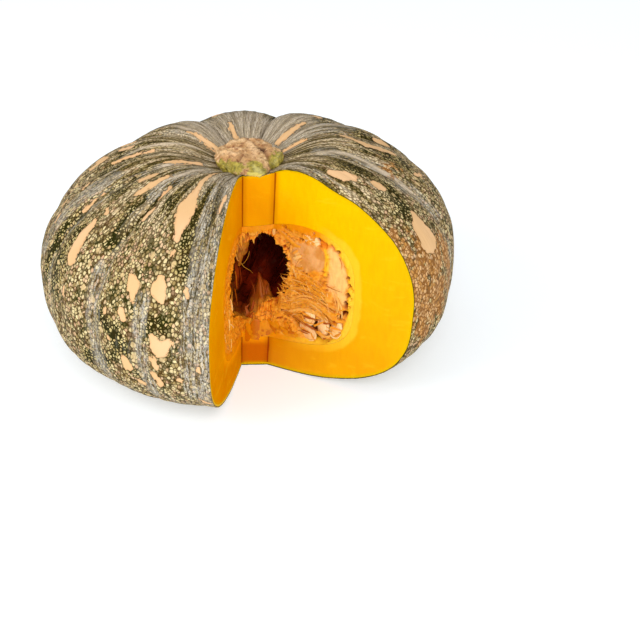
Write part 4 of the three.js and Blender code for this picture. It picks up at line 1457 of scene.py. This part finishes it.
def add_torn_edge(strands):
    """Shreds round the open space that point in over it."""
    random, facing = strands.random, way_out("right")
    middle = np.array([28.0, 60.0])
    edge = np.array(TORN_EDGE, float)
    for _ in range(TORN_SHREDS):
        at = random.uniform(0, len(edge) - 1.001)
        i = int(at)
        root = edge[i] + (edge[i + 1] - edge[i]) * (at - i)
        inward = (middle - root) / np.linalg.norm(middle - root)
        turn = random.normal(0, 0.55)
        way = np.array([
            inward[0] * math.cos(turn) - inward[1] * math.sin(turn),
            inward[0] * math.sin(turn) + inward[1] * math.cos(turn),
        ])
        reach = random.uniform(1.2, 4.4) * (1.7 if 40 < root[1] < 64 else 1)
        start = root - way * random.uniform(2, 5)
        deep = random.uniform(0.4, 2.4)
        places = [
            (start, deep),
            (root + way * reach * 0.4, deep + random.uniform(-0.2, 0.8)),
            (root + way * reach, deep + random.uniform(0.3, 3)),
        ]
        route = [on_cut("right", *(place / 1000), behind / 1000) for place, behind in places]
        width = random.uniform(0.0003, 0.0012)
        tone = (0.75 if root[1] > 62 else 0.5) + random.normal(0, 0.15)
        strands.add(route, width, width * 0.35, facing, np.clip(tone, 0, 1), root=1.0, tip=0.15)


def space(x, y, z):
    """A place in millimetres from the growth axis."""
    return np.array([x, y, z]) / 1000 + GROWTH_AXIS


# Torn tongues that stand along the lower lip of the opening: place, foot, head, half width and tone.
TONGUES = [
    (2.4, -30.0, 21, 33, 0.0040, 0.40), (6.2, -31.0, 16, 32.0, 0.0046, 0.46), (-1.2, -27.4, 26, 36, 0.0030, 0.10),
    (0.8, -26.5, 27, 40.0, 0.0034, 0.06), (9.6, -31.4, 19, 34, 0.0034, 0.46), (12.6, -32.4, 22, 36, 0.0030, 0.42),
    (4.0, -25.5, 25, 38, 0.0036, 0.04), (15.4, -33.6, 23, 37, 0.0026, 0.40),
    (18.6, -34.8, 23, 36.6, 0.0022, 0.46), (22.0, -36.6, 22, 36, 0.0024, 0.44), (8.0, -26.0, 25, 38, 0.0030, 0.10),
]
# Teeth that hang from its roof: place across, root, tip, half width and tone.
TEETH = [
    (2.6, 90, 77.5, 0.0019, 0.62), (-7.0, 84, 72, 0.0022, 0.42), (1.2, 90, 80.5, 0.0016, 0.60),
    (4.4, 90, 82, 0.0016, 0.66), (6.2, 91, 83.6, 0.0010, 0.66), (-2.6, 88, 80, 0.0014, 0.55),
    (-4.6, 86, 76, 0.0018, 0.50), (9.0, 91, 85.5, 0.0010, 0.7),
]
TEETH_DEPTH = -29.6
# Torn skins that hang in the open space: place, top, foot, half width, tone and share of it that is lit.
CURTAINS = [(-13.0, -17, 78, 64, 0.0020, 0.06, 0.20), (-8.5, -15, 60, 40, 0.0016, 0.02, 0.30)]
# Two threads that cross before the open space.
CROSSED_THREADS = [
    [(-5.2, -27.5, 66), (-3.0, -27.5, 62.5), (0.2, -27.8, 60.4), (2.2, -28, 58.2)],
    [(0.6, -27.5, 73), (-0.4, -27.5, 69), (-3, -27.5, 65), (-5.8, -27.5, 63.4)],
]
# Strands along the left cut face: the way and the tone.
LEFT_GUIDES = [
    ([(50, 87), (44, 80), (37, 72), (31, 68)], 0.75), ([(38, 84), (30, 76), (22, 66)], 0.6),
    ([(48, 70), (44, 64), (40, 52)], 0.2), ([(46, 58), (42, 50), (38, 42)], 0.12),
]
FOLD_THREADS = 8
FLOOR_RAGS = 13
LIP_RAGS = 22
FOOT_RAGS = 26
LEFT_STRANDS = 46
TOWARD_FRONT = (0, -1, 0)
FRONT_AND_UP = (0, -1, 0.1)


def add_flames(strands):
    """The tongues at the lower lip of the opening, each with two threads, and the teeth at its roof."""
    random = strands.random
    for x, y, low, high, width, tone in TONGUES:
        sway = random.uniform(-2.5, 2.5)
        route = [
            space(x, y + 1.5, low), space(x + sway * 0.2, y - 0.4, low + (high - low) * 0.4),
            space(x + sway, y + random.uniform(0, 2), high),
        ]
        twist = random.uniform(-0.5, 0.5)
        strands.add(route, width, 0.0007, (0.2, -1, 0.15), tone, root=0.8, tip=0.12, twist=twist)
        for _ in range(2):
            foot, head = random.uniform(low, high - 6), random.uniform(high - 4, high + 1)
            aside = x + random.uniform(-3, 3)
            route = [
                space(aside, y + random.uniform(0, 1.6), foot),
                space(aside + random.uniform(-1, 1), y + random.uniform(-0.8, 1), (foot + head) / 2),
                space(aside + random.uniform(-3, 3), y + random.uniform(-0.6, 3), head),
            ]
            thin = random.uniform(0.0003, 0.0009)
            own_tone = np.clip(tone + random.normal(0, 0.16), 0, 1)
            strands.add(route, thin, thin * 0.5, FRONT_AND_UP, own_tone, tip=0.15)
    for x, root, tip, width, tone in TEETH:
        y = TEETH_DEPTH
        route = [space(x, y + 1.2, root), space(x + 0.3, y + 0.5, (root + tip) / 2), space(x + 0.8, y + 1.4, tip)]
        strands.add(route, width, 0.0005, TOWARD_FRONT, tone, root=1.0, tip=0.12)


def add_hanging_strands(strands, count):
    """Strands and thin curtains that hang in front of the wall of the open space."""
    random = strands.random
    for i in range(count):
        azimuth = random.uniform(85, 335)
        toward = -math.sin(math.radians(azimuth)), math.cos(math.radians(azimuth)), 0

        def wall(rise, beyond, drift=0.0):
            turn = math.radians(azimuth + drift)
            level = math.sqrt(1 - rise * rise)
            unit = np.array([[math.sin(turn) * level, -math.cos(turn) * level, rise]])
            return (void_points(unit, 0)[0] - VOID_CENTRE - GROWTH_AXIS) * beyond + VOID_CENTRE + GROWTH_AXIS

        route = [
            wall(random.uniform(0.45, 0.9), 1.04),
            wall(random.uniform(0.0, 0.3), random.uniform(0.78, 0.95), random.uniform(-9, 9)),
            wall(random.uniform(-0.4, -0.1), random.uniform(0.74, 0.96), random.uniform(-14, 14)),
            wall(random.uniform(-0.9, -0.6), 1.03, random.uniform(-16, 16)),
        ]
        curtain = i % 3 == 0
        width = random.uniform(0.0016, 0.0042) if curtain else random.uniform(0.0003, 0.0009)
        strands.add(
            route, width, 0.00035, toward, random.uniform(0.15, 0.75), root=1.0,
            tip=random.uniform(0.3, 0.9), twist=random.uniform(-0.8, 0.8),
        )


def add_curtains(strands):
    """Torn skins in the open space, and fine threads over its standing fold."""
    random = strands.random
    for x, y, high, low, width, tone, lit in CURTAINS:
        sway = random.uniform(-3, 3)
        route = [
            space(x, y, high), space(x + sway, y - 1.2, high * 0.6 + low * 0.4),
            space(x - sway * 0.3, y, high * 0.3 + low * 0.7), space(x + sway * 0.6, y + 1.5, low),
        ]
        strands.add(
            route, width, 0.0004, (random.uniform(-0.2, 0.8), -1, 0.1), tone, root=0.9, tip=0.55,
            twist=random.uniform(-0.9, 0.9), lit=lit,
        )
        for _ in range(2):
            aside, middle = x + random.uniform(-4, 4), (high + low) / 2
            route = [
                space(aside, y - 0.8, random.uniform(middle, high)),
                space(aside + random.uniform(-2, 2), y - 1.8, middle - 2),
                space(aside + random.uniform(-3, 3), y + 0.5, low - random.uniform(-2, 3)),
            ]
            thin = random.uniform(0.00014, 0.0004)
            own_tone = tone + random.uniform(0.0, 0.1)
            strands.add(route, thin * 1.5, thin * 0.7, TOWARD_FRONT, own_tone, tip=0.3, lit=lit * 0.4)
    for _ in range(FOLD_THREADS):
        x, y = random.uniform(1, 10), random.uniform(-27.5, -24)
        low, high = random.uniform(30, 40), random.uniform(44, 53)
        route = [
            space(x, y, low), space(x + random.uniform(-1, 1), y + 1.5, (low + high) / 2),
            space(x + random.uniform(-2, 2), y + 5, high),
        ]
        width = random.uniform(0.00016, 0.0004)
        strands.add(route, width * 1.5, width, FRONT_AND_UP, random.uniform(0.0, 0.16), tip=0.3, lit=0.2)


def add_rags(strands):
    """Rags round the lower lip of the open space."""
    random = strands.random
    # Rags that stand up from its floor.
    for _ in range(FLOOR_RAGS):
        x, y = random.uniform(0, 16), random.uniform(-31, -24)
        foot, rise = random.uniform(24, 30) + 0.35 * x, random.uniform(4, 9)
        lean = random.uniform(-0.9, 0.3) * rise
        route = [
            space(x, y, foot), space(x + lean * 0.3, y - 1, foot + rise * 0.5),
            space(x + lean, y + random.uniform(-1, 3), foot + rise),
        ]
        width = random.uniform(0.0014, 0.0034)
        strands.add(
            route, width, 0.0005, (random.uniform(-0.8, 0.9), -1, 0.1), random.uniform(0.0, 0.34), root=1.1,
            tip=0.5, twist=random.uniform(-1.0, 1.0), lit=0.6 - 0.05 * (y + 30),
        )
    # Rags that hang over the lower lip, in front of the flesh.
    for _ in range(LIP_RAGS):
        x, top = random.uniform(-3, 14), random.uniform(24, 31)
        foot, lean = random.uniform(12.5, 20), random.uniform(-5, 5)
        route = [
            on_cut(
                "back", (x + lean * share) / 1000, (top + (foot - top) * share) / 1000,
                0.0008 - 0.0012 * math.sin(math.pi * share),
            )
            for share in (0, 0.5, 1)
        ]
        width = random.uniform(0.0008, 0.0040)
        strands.add(route, width, 0.0004, TOWARD_FRONT, random.uniform(1.3, 2.0), root=1.0, tip=0.25)
    # Rags along the foot of the right cut face, where the pulp gives way to flesh.
    facing = way_out("right")
    for _ in range(FOOT_RAGS):
        along, z = random.uniform(17, 46), random.uniform(22.5, 28)
        guide = crossing(along, z, random.uniform(-60, 10), random.uniform(2, 5), random.uniform(2, 5))
        width = random.uniform(0.0006, 0.0026)
        route = face_route("right", random, guide, 0.3, 0.2)
        strands.add(route, width, 0.0004, facing, random.uniform(1.2, 2.0), root=1.0, tip=0.3)
    for route in CROSSED_THREADS:
        strands.add([space(*point) for point in route], 0.00018, 0.00014, TOWARD_FRONT, 0.4, tip=0.3, lit=0.55)


def add_left_strands(strands):
    """Strands on the left cut face, seen from the side, where they line its hollow."""
    random, facing = strands.random, way_out("left")
    for _ in range(LEFT_STRANDS):
        along, z = random.uniform(56, 76), random.uniform(26, 62)
        guide = crossing(along, z, random.uniform(35, 110), random.uniform(4, 11), aside=random.uniform(-1, 1))
        width = random.uniform(0.0003, 0.0008)
        route = face_route("left", random, guide, 0.3, random.uniform(0.4, 1.4))
        strands.add(route, width * 1.3, width, facing, np.clip(random.normal(0.6, 0.2), 0, 1), tip=0.3)
    for guide, tone in LEFT_GUIDES:
        strands.add(face_route("left", random, guide, 0.4, 1.0), 0.0006, 0.0004, facing, tone, tip=0.2)


def pulp_finish(settings):
    finish = Finish("stringy pulp")
    span, times, plus, blend, lay = finish.span, finish.times, finish.plus, finish.blend, finish.lay
    place = finish.place()
    tone, behind = finish.painted("tone"), finish.painted("behind")
    lumpy = finish.noise(place, 0.006, 3)
    fine = finish.noise(finish.place((1, 1, 0.4)), 0.0016, 3)

    # The strands run from brown through orange to peach, and past that to the yellow of the flesh.
    thread = blend(span(tone, 0.0, 0.55), linear(150, 60, 8), settings.fibre)
    for low, high, shade in [
        (0.5, 1.0, settings.pale), (1.0, 1.2, linear(232, 144, 8)), (1.2, 2.0, linear(196, 100, 2)),
    ]:
        thread = blend(span(tone, low, high), thread, shade)

    # The wall behind them, with its smooth skins; painted shade darkens the grooves between its ridges, its
    # hollows and its empty sockets.
    finish.colour = blend(span(finish.painted("ridge"), 0.3, 0.85), linear(156, 64, 8), settings.fibre)
    lay(span(lumpy, 0.4, 0.7, 0, 0.5), linear(250, 176, 76))
    lay(finish.painted("skin_tan"), blend(span(lumpy, 0.4, 0.62), linear(214, 148, 70), linear(230, 172, 104)))
    lay(finish.painted("skin_peach"), settings.pale)
    # Painted shade: the hollows and the empty sockets are laid dark.
    for name, share, shade in [
        ("seam", 0.85, (252, 192, 30)), ("orange", 0.8, (222, 120, 10)), ("hollow", 0.85, (128, 46, 4)),
        ("socket", 0.94, (104, 24, 4)),
    ]:
        lay(times(finish.painted(name), share), linear(*shade))
    from_wall = plus(finish.painted("from_wall"), span(lumpy, 0, 1, -0.0016, 0.0016))
    rim = span(from_wall, 0.0026, 0.0052, 1, 0)
    on_left = finish.painted("on_left")
    lay(rim, linear(230, 144, 4))
    lay(times(rim, finish.painted("ringed")), linear(250, 200, 46))
    lay(times(on_left, 0.5), linear(218, 132, 8))

    lay(span(tone, -0.6, -0.2), thread)
    lay(span(fine, 0.3, 0.7, 0.16, 0), linear(178, 74, 8))

    # Painted shade: it all darkens with the depth of the open space, but for what is painted as lit.
    reach = plus(behind, span(lumpy, 0, 1, -0.003, 0.003))
    unlit = finish.sum("SUBTRACT", 1.0, finish.painted("lit"))
    folded = span(finish.noise(finish.place((1, 1, 0.25)), 0.010, 2), 0.42, 0.58)
    lay(times(span(reach, 0.003, 0.016, 0, 0.94), unlit), settings.deep)
    lay(times(span(reach, 0.012, 0.028, 0, 0.9), unlit), blend(folded, linear(74, 8, 5), linear(130, 30, 9)))
    return finish.shade(
        Roughness=span(fine, 0.3, 0.8, 0.34, 0.5), Normal=finish.bump(plus(fine, times(lumpy, 0.5)), 0.0004, 0.6),
        Subsurface_Weight=span(behind, 0.004, 0.014, 0.15, 0.0), Subsurface_Scale=0.004,
        Specular_IOR_Level=times(span(behind, 0.003, 0.014, 0.3, 0.03), span(on_left, 0, 1, 1, 0)),
        Specular_Tint=(1, 0.8, 0.5),
    )


# ---------------------------------------------------------------- seeds


class SeedSettings(bpy.types.PropertyGroup):
    """Colours of the seeds."""

    shell: colour("Shell", "Cream of the seed shell", 254, 222, 160)
    rim: colour("Rim", "Darker line round the seed", 214, 160, 92)


SEED_HALVES = (0.0075, 0.0043, 0.0015)


def seed_points(azimuth, rise, unit):
    """A flat seed with a pointed end, a raised rim and a shallow groove inside it."""
    turn = np.arctan2(unit[:, 1], unit[:, 0])
    level = np.hypot(unit[:, 0], unit[:, 1])
    out = level ** 0.8
    x = SEED_HALVES[0] * out * np.cos(turn)
    taper = 1 - 0.3 * np.cos(turn) * out - 0.14 * step(np.cos(turn) * out, 0.6, 1.0)
    y = SEED_HALVES[1] * out * np.sin(turn) * taper
    crown = np.sqrt(np.maximum(1 - level ** 2.4, 0))
    rim = 0.24 * np.exp(-((out - 0.9) / 0.05) ** 2) - 0.2 * np.exp(-((out - 0.8) / 0.05) ** 2)
    z = SEED_HALVES[2] * np.sign(unit[:, 2]) * np.maximum(0.9 * crown + rim * (level > 0.4), 0)
    return np.stack([x, y, z], 1)


def add_seed(pattern, name, node):
    """A copy of the seed in the place that its node takes up, its point turned the same way."""
    seed = copied(pattern, name)
    own = points_of(node)
    middle = (own.max(0) + own.min(0)) / 2
    centre = own.mean(0)
    _, _, axes = np.linalg.svd(own - centre, full_matrices=False)
    spread = (own - centre) @ axes.T
    if np.abs(spread[:, 1])[spread[:, 0] > 0].max() > np.abs(spread[:, 1])[spread[:, 0] < 0].max():
        axes[0] = -axes[0]
    axes[2] = np.cross(axes[0], axes[1])
    spread = (own - middle) @ axes.T
    halves = (spread.max(0) - spread.min(0)) / 2
    shift = (spread.max(0) + spread.min(0)) / 2
    fit = np.minimum(halves / np.array(SEED_HALVES), 1.0)
    place_points(seed, middle + (points_of(seed) * fit + shift) @ axes)
    return seed


def make_seeds(nodes):
    pattern = formed_ball("seed_pattern", SEED_STEPS, seed_points)
    unit = points_of(pattern) / SEED_HALVES
    paint(pattern, "rim", np.hypot(unit[:, 0], unit[:, 1]))
    seeds = [(add_seed(pattern, f"pale_{name}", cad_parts[name]), name) for name in nodes]
    bpy.data.objects.remove(pattern)
    for index, (seed, _) in enumerate(seeds):
        paint(seed, "tone", np.full(len(seed.data.vertices), (index * 0.37) % 1))
        behind = behind_cuts(points_of(seed))
        paint(seed, "shade", step(behind, 0.005, 0.012))
        smooth(seed, 60)
    return seeds


def seed_finish(settings):
    finish = Finish("seed shell")
    span, times, lay = finish.span, finish.times, finish.lay
    place = finish.place()
    broad = finish.noise(place, 0.004, 3)
    fine = finish.noise(place, 0.0006, 2)
    edge = finish.painted("rim")
    line = times(span(edge, 0.72, 0.8), span(edge, 0.84, 0.92, 1, 0))
    finish.colour = finish.blend(finish.painted("tone"), settings.shell, linear(232, 176, 110))
    lay(span(broad, 0.4, 0.6, 0, 0.7), linear(234, 168, 84))
    lay(times(line, 0.7), settings.rim)
    lay(times(finish.painted("shade"), 0.92), linear(104, 30, 8))
    return finish.shade(
        Roughness=span(fine, 0.3, 0.7, 0.3, 0.42), Normal=finish.bump(finish.plus(broad, fine), 0.00015, 0.5),
        Subsurface_Weight=0.1, Subsurface_Scale=0.002,
    )


# ---------------------------------------------------------------- stage


class StageSettings(bpy.types.PropertyGroup):
    """The floor and the light."""

    floor: FloatVectorProperty(
        name="Floor", description="Colour of the floor", default=(0.71, 0.76, 0.80), subtype="COLOR", min=0, max=1,
    )
    glow: FloatProperty(
        name="Glow", description="Light that comes up through the floor", default=0.38, min=0, max=2,
    )
    fill: FloatProperty(
        name="Fill", description="Strength of the light from all round", default=0.62, min=0, max=5,
    )
    key: FloatProperty(
        name="Key", description="Power of the larger lamp", default=19, min=0, max=500, unit="POWER",
    )
    side: FloatProperty(
        name="Side", description="Power of the lamp on the left", default=10, min=0, max=500, unit="POWER",
    )


FLOOR_SIZE = 16
FLOOR_HEIGHT = -0.0002
LAMP_SIZE = 1.0
KEY_PLACE = (0.3, -1.5, 1.0)
SIDE_PLACE = (-1.2, -0.6, 0.9)

# The camera: its place, its tilt from straight down, its roll, and its lens and sensor in millimetres.
CAMERA_PLACE = (0.0423905, -0.754394, 0.445931)
CAMERA_TILT = 60
CAMERA_ROLL = -1.01
CAMERA_LENS = 79.56
CAMERA_SENSOR = 36
PICTURE_WIDTH = 640
PICTURE_SHIFT = (-1.047, -1.244)  # in pixels of that width


def add_lamp(name, place, power):
    deselect()
    bpy.ops.object.light_add(type="AREA", location=place)
    lamp = added(name)
    lamp.data.size = LAMP_SIZE
    lamp.data.energy = power
    lamp.rotation_euler = Vector(place).to_track_quat("Z", "Y").to_euler()


def add_floor(settings):
    deselect()
    bpy.ops.mesh.primitive_plane_add(size=FLOOR_SIZE, location=(0, 0, FLOOR_HEIGHT))
    floor = added("floor")
    floor.data.materials.append(Finish("pale floor").shade(
        Base_Color=settings.floor, Roughness=0.8, Specular_IOR_Level=0.1, Emission_Color=(1, 1, 1),
        Emission_Strength=settings.glow,
    ))


def add_camera():
    deselect()
    turn = Matrix.Rotation(math.radians(CAMERA_TILT), 3, "X") @ Matrix.Rotation(math.radians(CAMERA_ROLL), 3, "Z")
    bpy.ops.object.camera_add(location=CAMERA_PLACE, rotation=turn.to_euler())
    camera = added("camera")
    camera.data.sensor_width = CAMERA_SENSOR
    camera.data.lens = CAMERA_LENS
    camera.data.shift_x, camera.data.shift_y = (pixels / PICTURE_WIDTH for pixels in PICTURE_SHIFT)
    bpy.context.scene.camera = camera


def make_stage(settings):
    add_floor(settings)
    add_camera()
    scene = bpy.context.scene
    scene.view_settings.view_transform = "Standard"
    scene.world = bpy.data.worlds.new("studio")
    scene.world.use_nodes = True
    background = scene.world.node_tree.nodes["Background"]
    background.inputs["Color"].default_value = (1, 1, 1, 1)
    background.inputs["Strength"].default_value = settings.fill
    add_lamp("key_lamp", KEY_PLACE, settings.key)
    add_lamp("side_lamp", SIDE_PLACE, settings.side)


# ---------------------------------------------------------------- the add-on


class SquashSettings(bpy.types.PropertyGroup):
    """All the settings of the squash."""

    stage: PointerProperty(type=StageSettings, name="Stage", description="The floor and the light")
    rind: PointerProperty(type=RindSettings, name="Rind", description="The skin")
    flesh: PointerProperty(type=FleshSettings, name="Flesh", description="The firm flesh")
    stem: PointerProperty(type=StemSettings, name="Stem", description="The corky stem")
    pulp: PointerProperty(type=PulpSettings, name="Pulp", description="The stringy pulp")
    seeds: PointerProperty(type=SeedSettings, name="Seeds", description="The seeds")


class SQUASH_OT_stage(bpy.types.Operator):
    """Lay the floor and place the camera and the lamps"""

    bl_idname = "squash.stage"
    bl_label = "Stage"

    def execute(self, context):
        make_stage(context.scene.squash.stage)
        return {"FINISHED"}


class SQUASH_OT_rind(bpy.types.Operator):
    """Make the netted skin with the wedge cut out of it"""

    bl_idname = "squash.rind"
    bl_label = "Rind"

    def execute(self, context):
        settings = context.scene.squash.rind
        finish_piece(make_rind(settings), rind_finish(settings), "rind", "rind")
        return {"FINISHED"}


class SQUASH_OT_flesh(bpy.types.Operator):
    """Make the firm flesh between the skin and the seed cavity"""

    bl_idname = "squash.flesh"
    bl_label = "Flesh"

    def execute(self, context):
        settings = context.scene.squash
        finish_piece(make_flesh(settings.rind.thickness), flesh_finish(settings.flesh), "flesh", "flesh")
        return {"FINISHED"}


class SQUASH_OT_stem(bpy.types.Operator):
    """Make the corky stem with one lobe shaved by the knife"""

    bl_idname = "squash.stem"
    bl_label = "Stem"

    def execute(self, context):
        settings = context.scene.squash.stem
        finish_piece(make_stem(settings), stem_finish(settings), "stem", "stem")
        return {"FINISHED"}


class SQUASH_OT_pulp(bpy.types.Operator):
    """Make the stringy pulp that lines the seed cavity"""

    bl_idname = "squash.pulp"
    bl_label = "Pulp"

    def execute(self, context):
        settings = context.scene.squash.pulp
        finish_piece(make_pulp(settings), pulp_finish(settings), "pulp", "pulp")
        return {"FINISHED"}


class SQUASH_OT_seeds(bpy.types.Operator):
    """Lay a seed wherever the pulp holds one"""

    bl_idname = "squash.seeds"
    bl_label = "Seeds"

    def execute(self, context):
        shell = seed_finish(context.scene.squash.seeds)
        names = sorted(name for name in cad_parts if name.startswith("seed_"))
        if not names:
            raise RuntimeError("the packed squash has no seeds")
        for seed, node in make_seeds(names):
            finish_piece(seed, shell, "seed", node)
        return {"FINISHED"}


class SQUASH_PT_build(bpy.types.Panel):
    """The steps that build the squash, in order"""

    bl_idname = "SQUASH_PT_build"
    bl_label = "Cut Kabocha Squash"
    bl_space_type = "VIEW_3D"
    bl_region_type = "UI"
    bl_category = "Squash"

    def draw(self, context):
        settings = context.scene.squash
        for step_class, part in STEPS:
            box = self.layout.box()
            box.operator(step_class.bl_idname)
            group = getattr(settings, part)
            for name in group.__annotations__:
                box.prop(group, name)


STEPS = [
    (SQUASH_OT_stage, "stage"), (SQUASH_OT_rind, "rind"), (SQUASH_OT_flesh, "flesh"), (SQUASH_OT_stem, "stem"),
    (SQUASH_OT_pulp, "pulp"), (SQUASH_OT_seeds, "seeds"),
]
SETTINGS = (StageSettings, RindSettings, FleshSettings, StemSettings, PulpSettings, SeedSettings, SquashSettings)
CLASSES = (*SETTINGS, *(step_class for step_class, _ in STEPS), SQUASH_PT_build)


def register():
    for cls in CLASSES:
        bpy.utils.register_class(cls)
    bpy.types.Scene.squash = PointerProperty(type=SquashSettings)


def unregister():
    del bpy.types.Scene.squash
    for cls in reversed(CLASSES):
        bpy.utils.unregister_class(cls)


def main():
    register()
    bpy.ops.squash.stage()
    bpy.ops.squash.rind()
    bpy.ops.squash.flesh()
    bpy.ops.squash.stem()
    bpy.ops.squash.pulp()
    bpy.ops.squash.seeds()


if __name__ == "__main__":
    main()
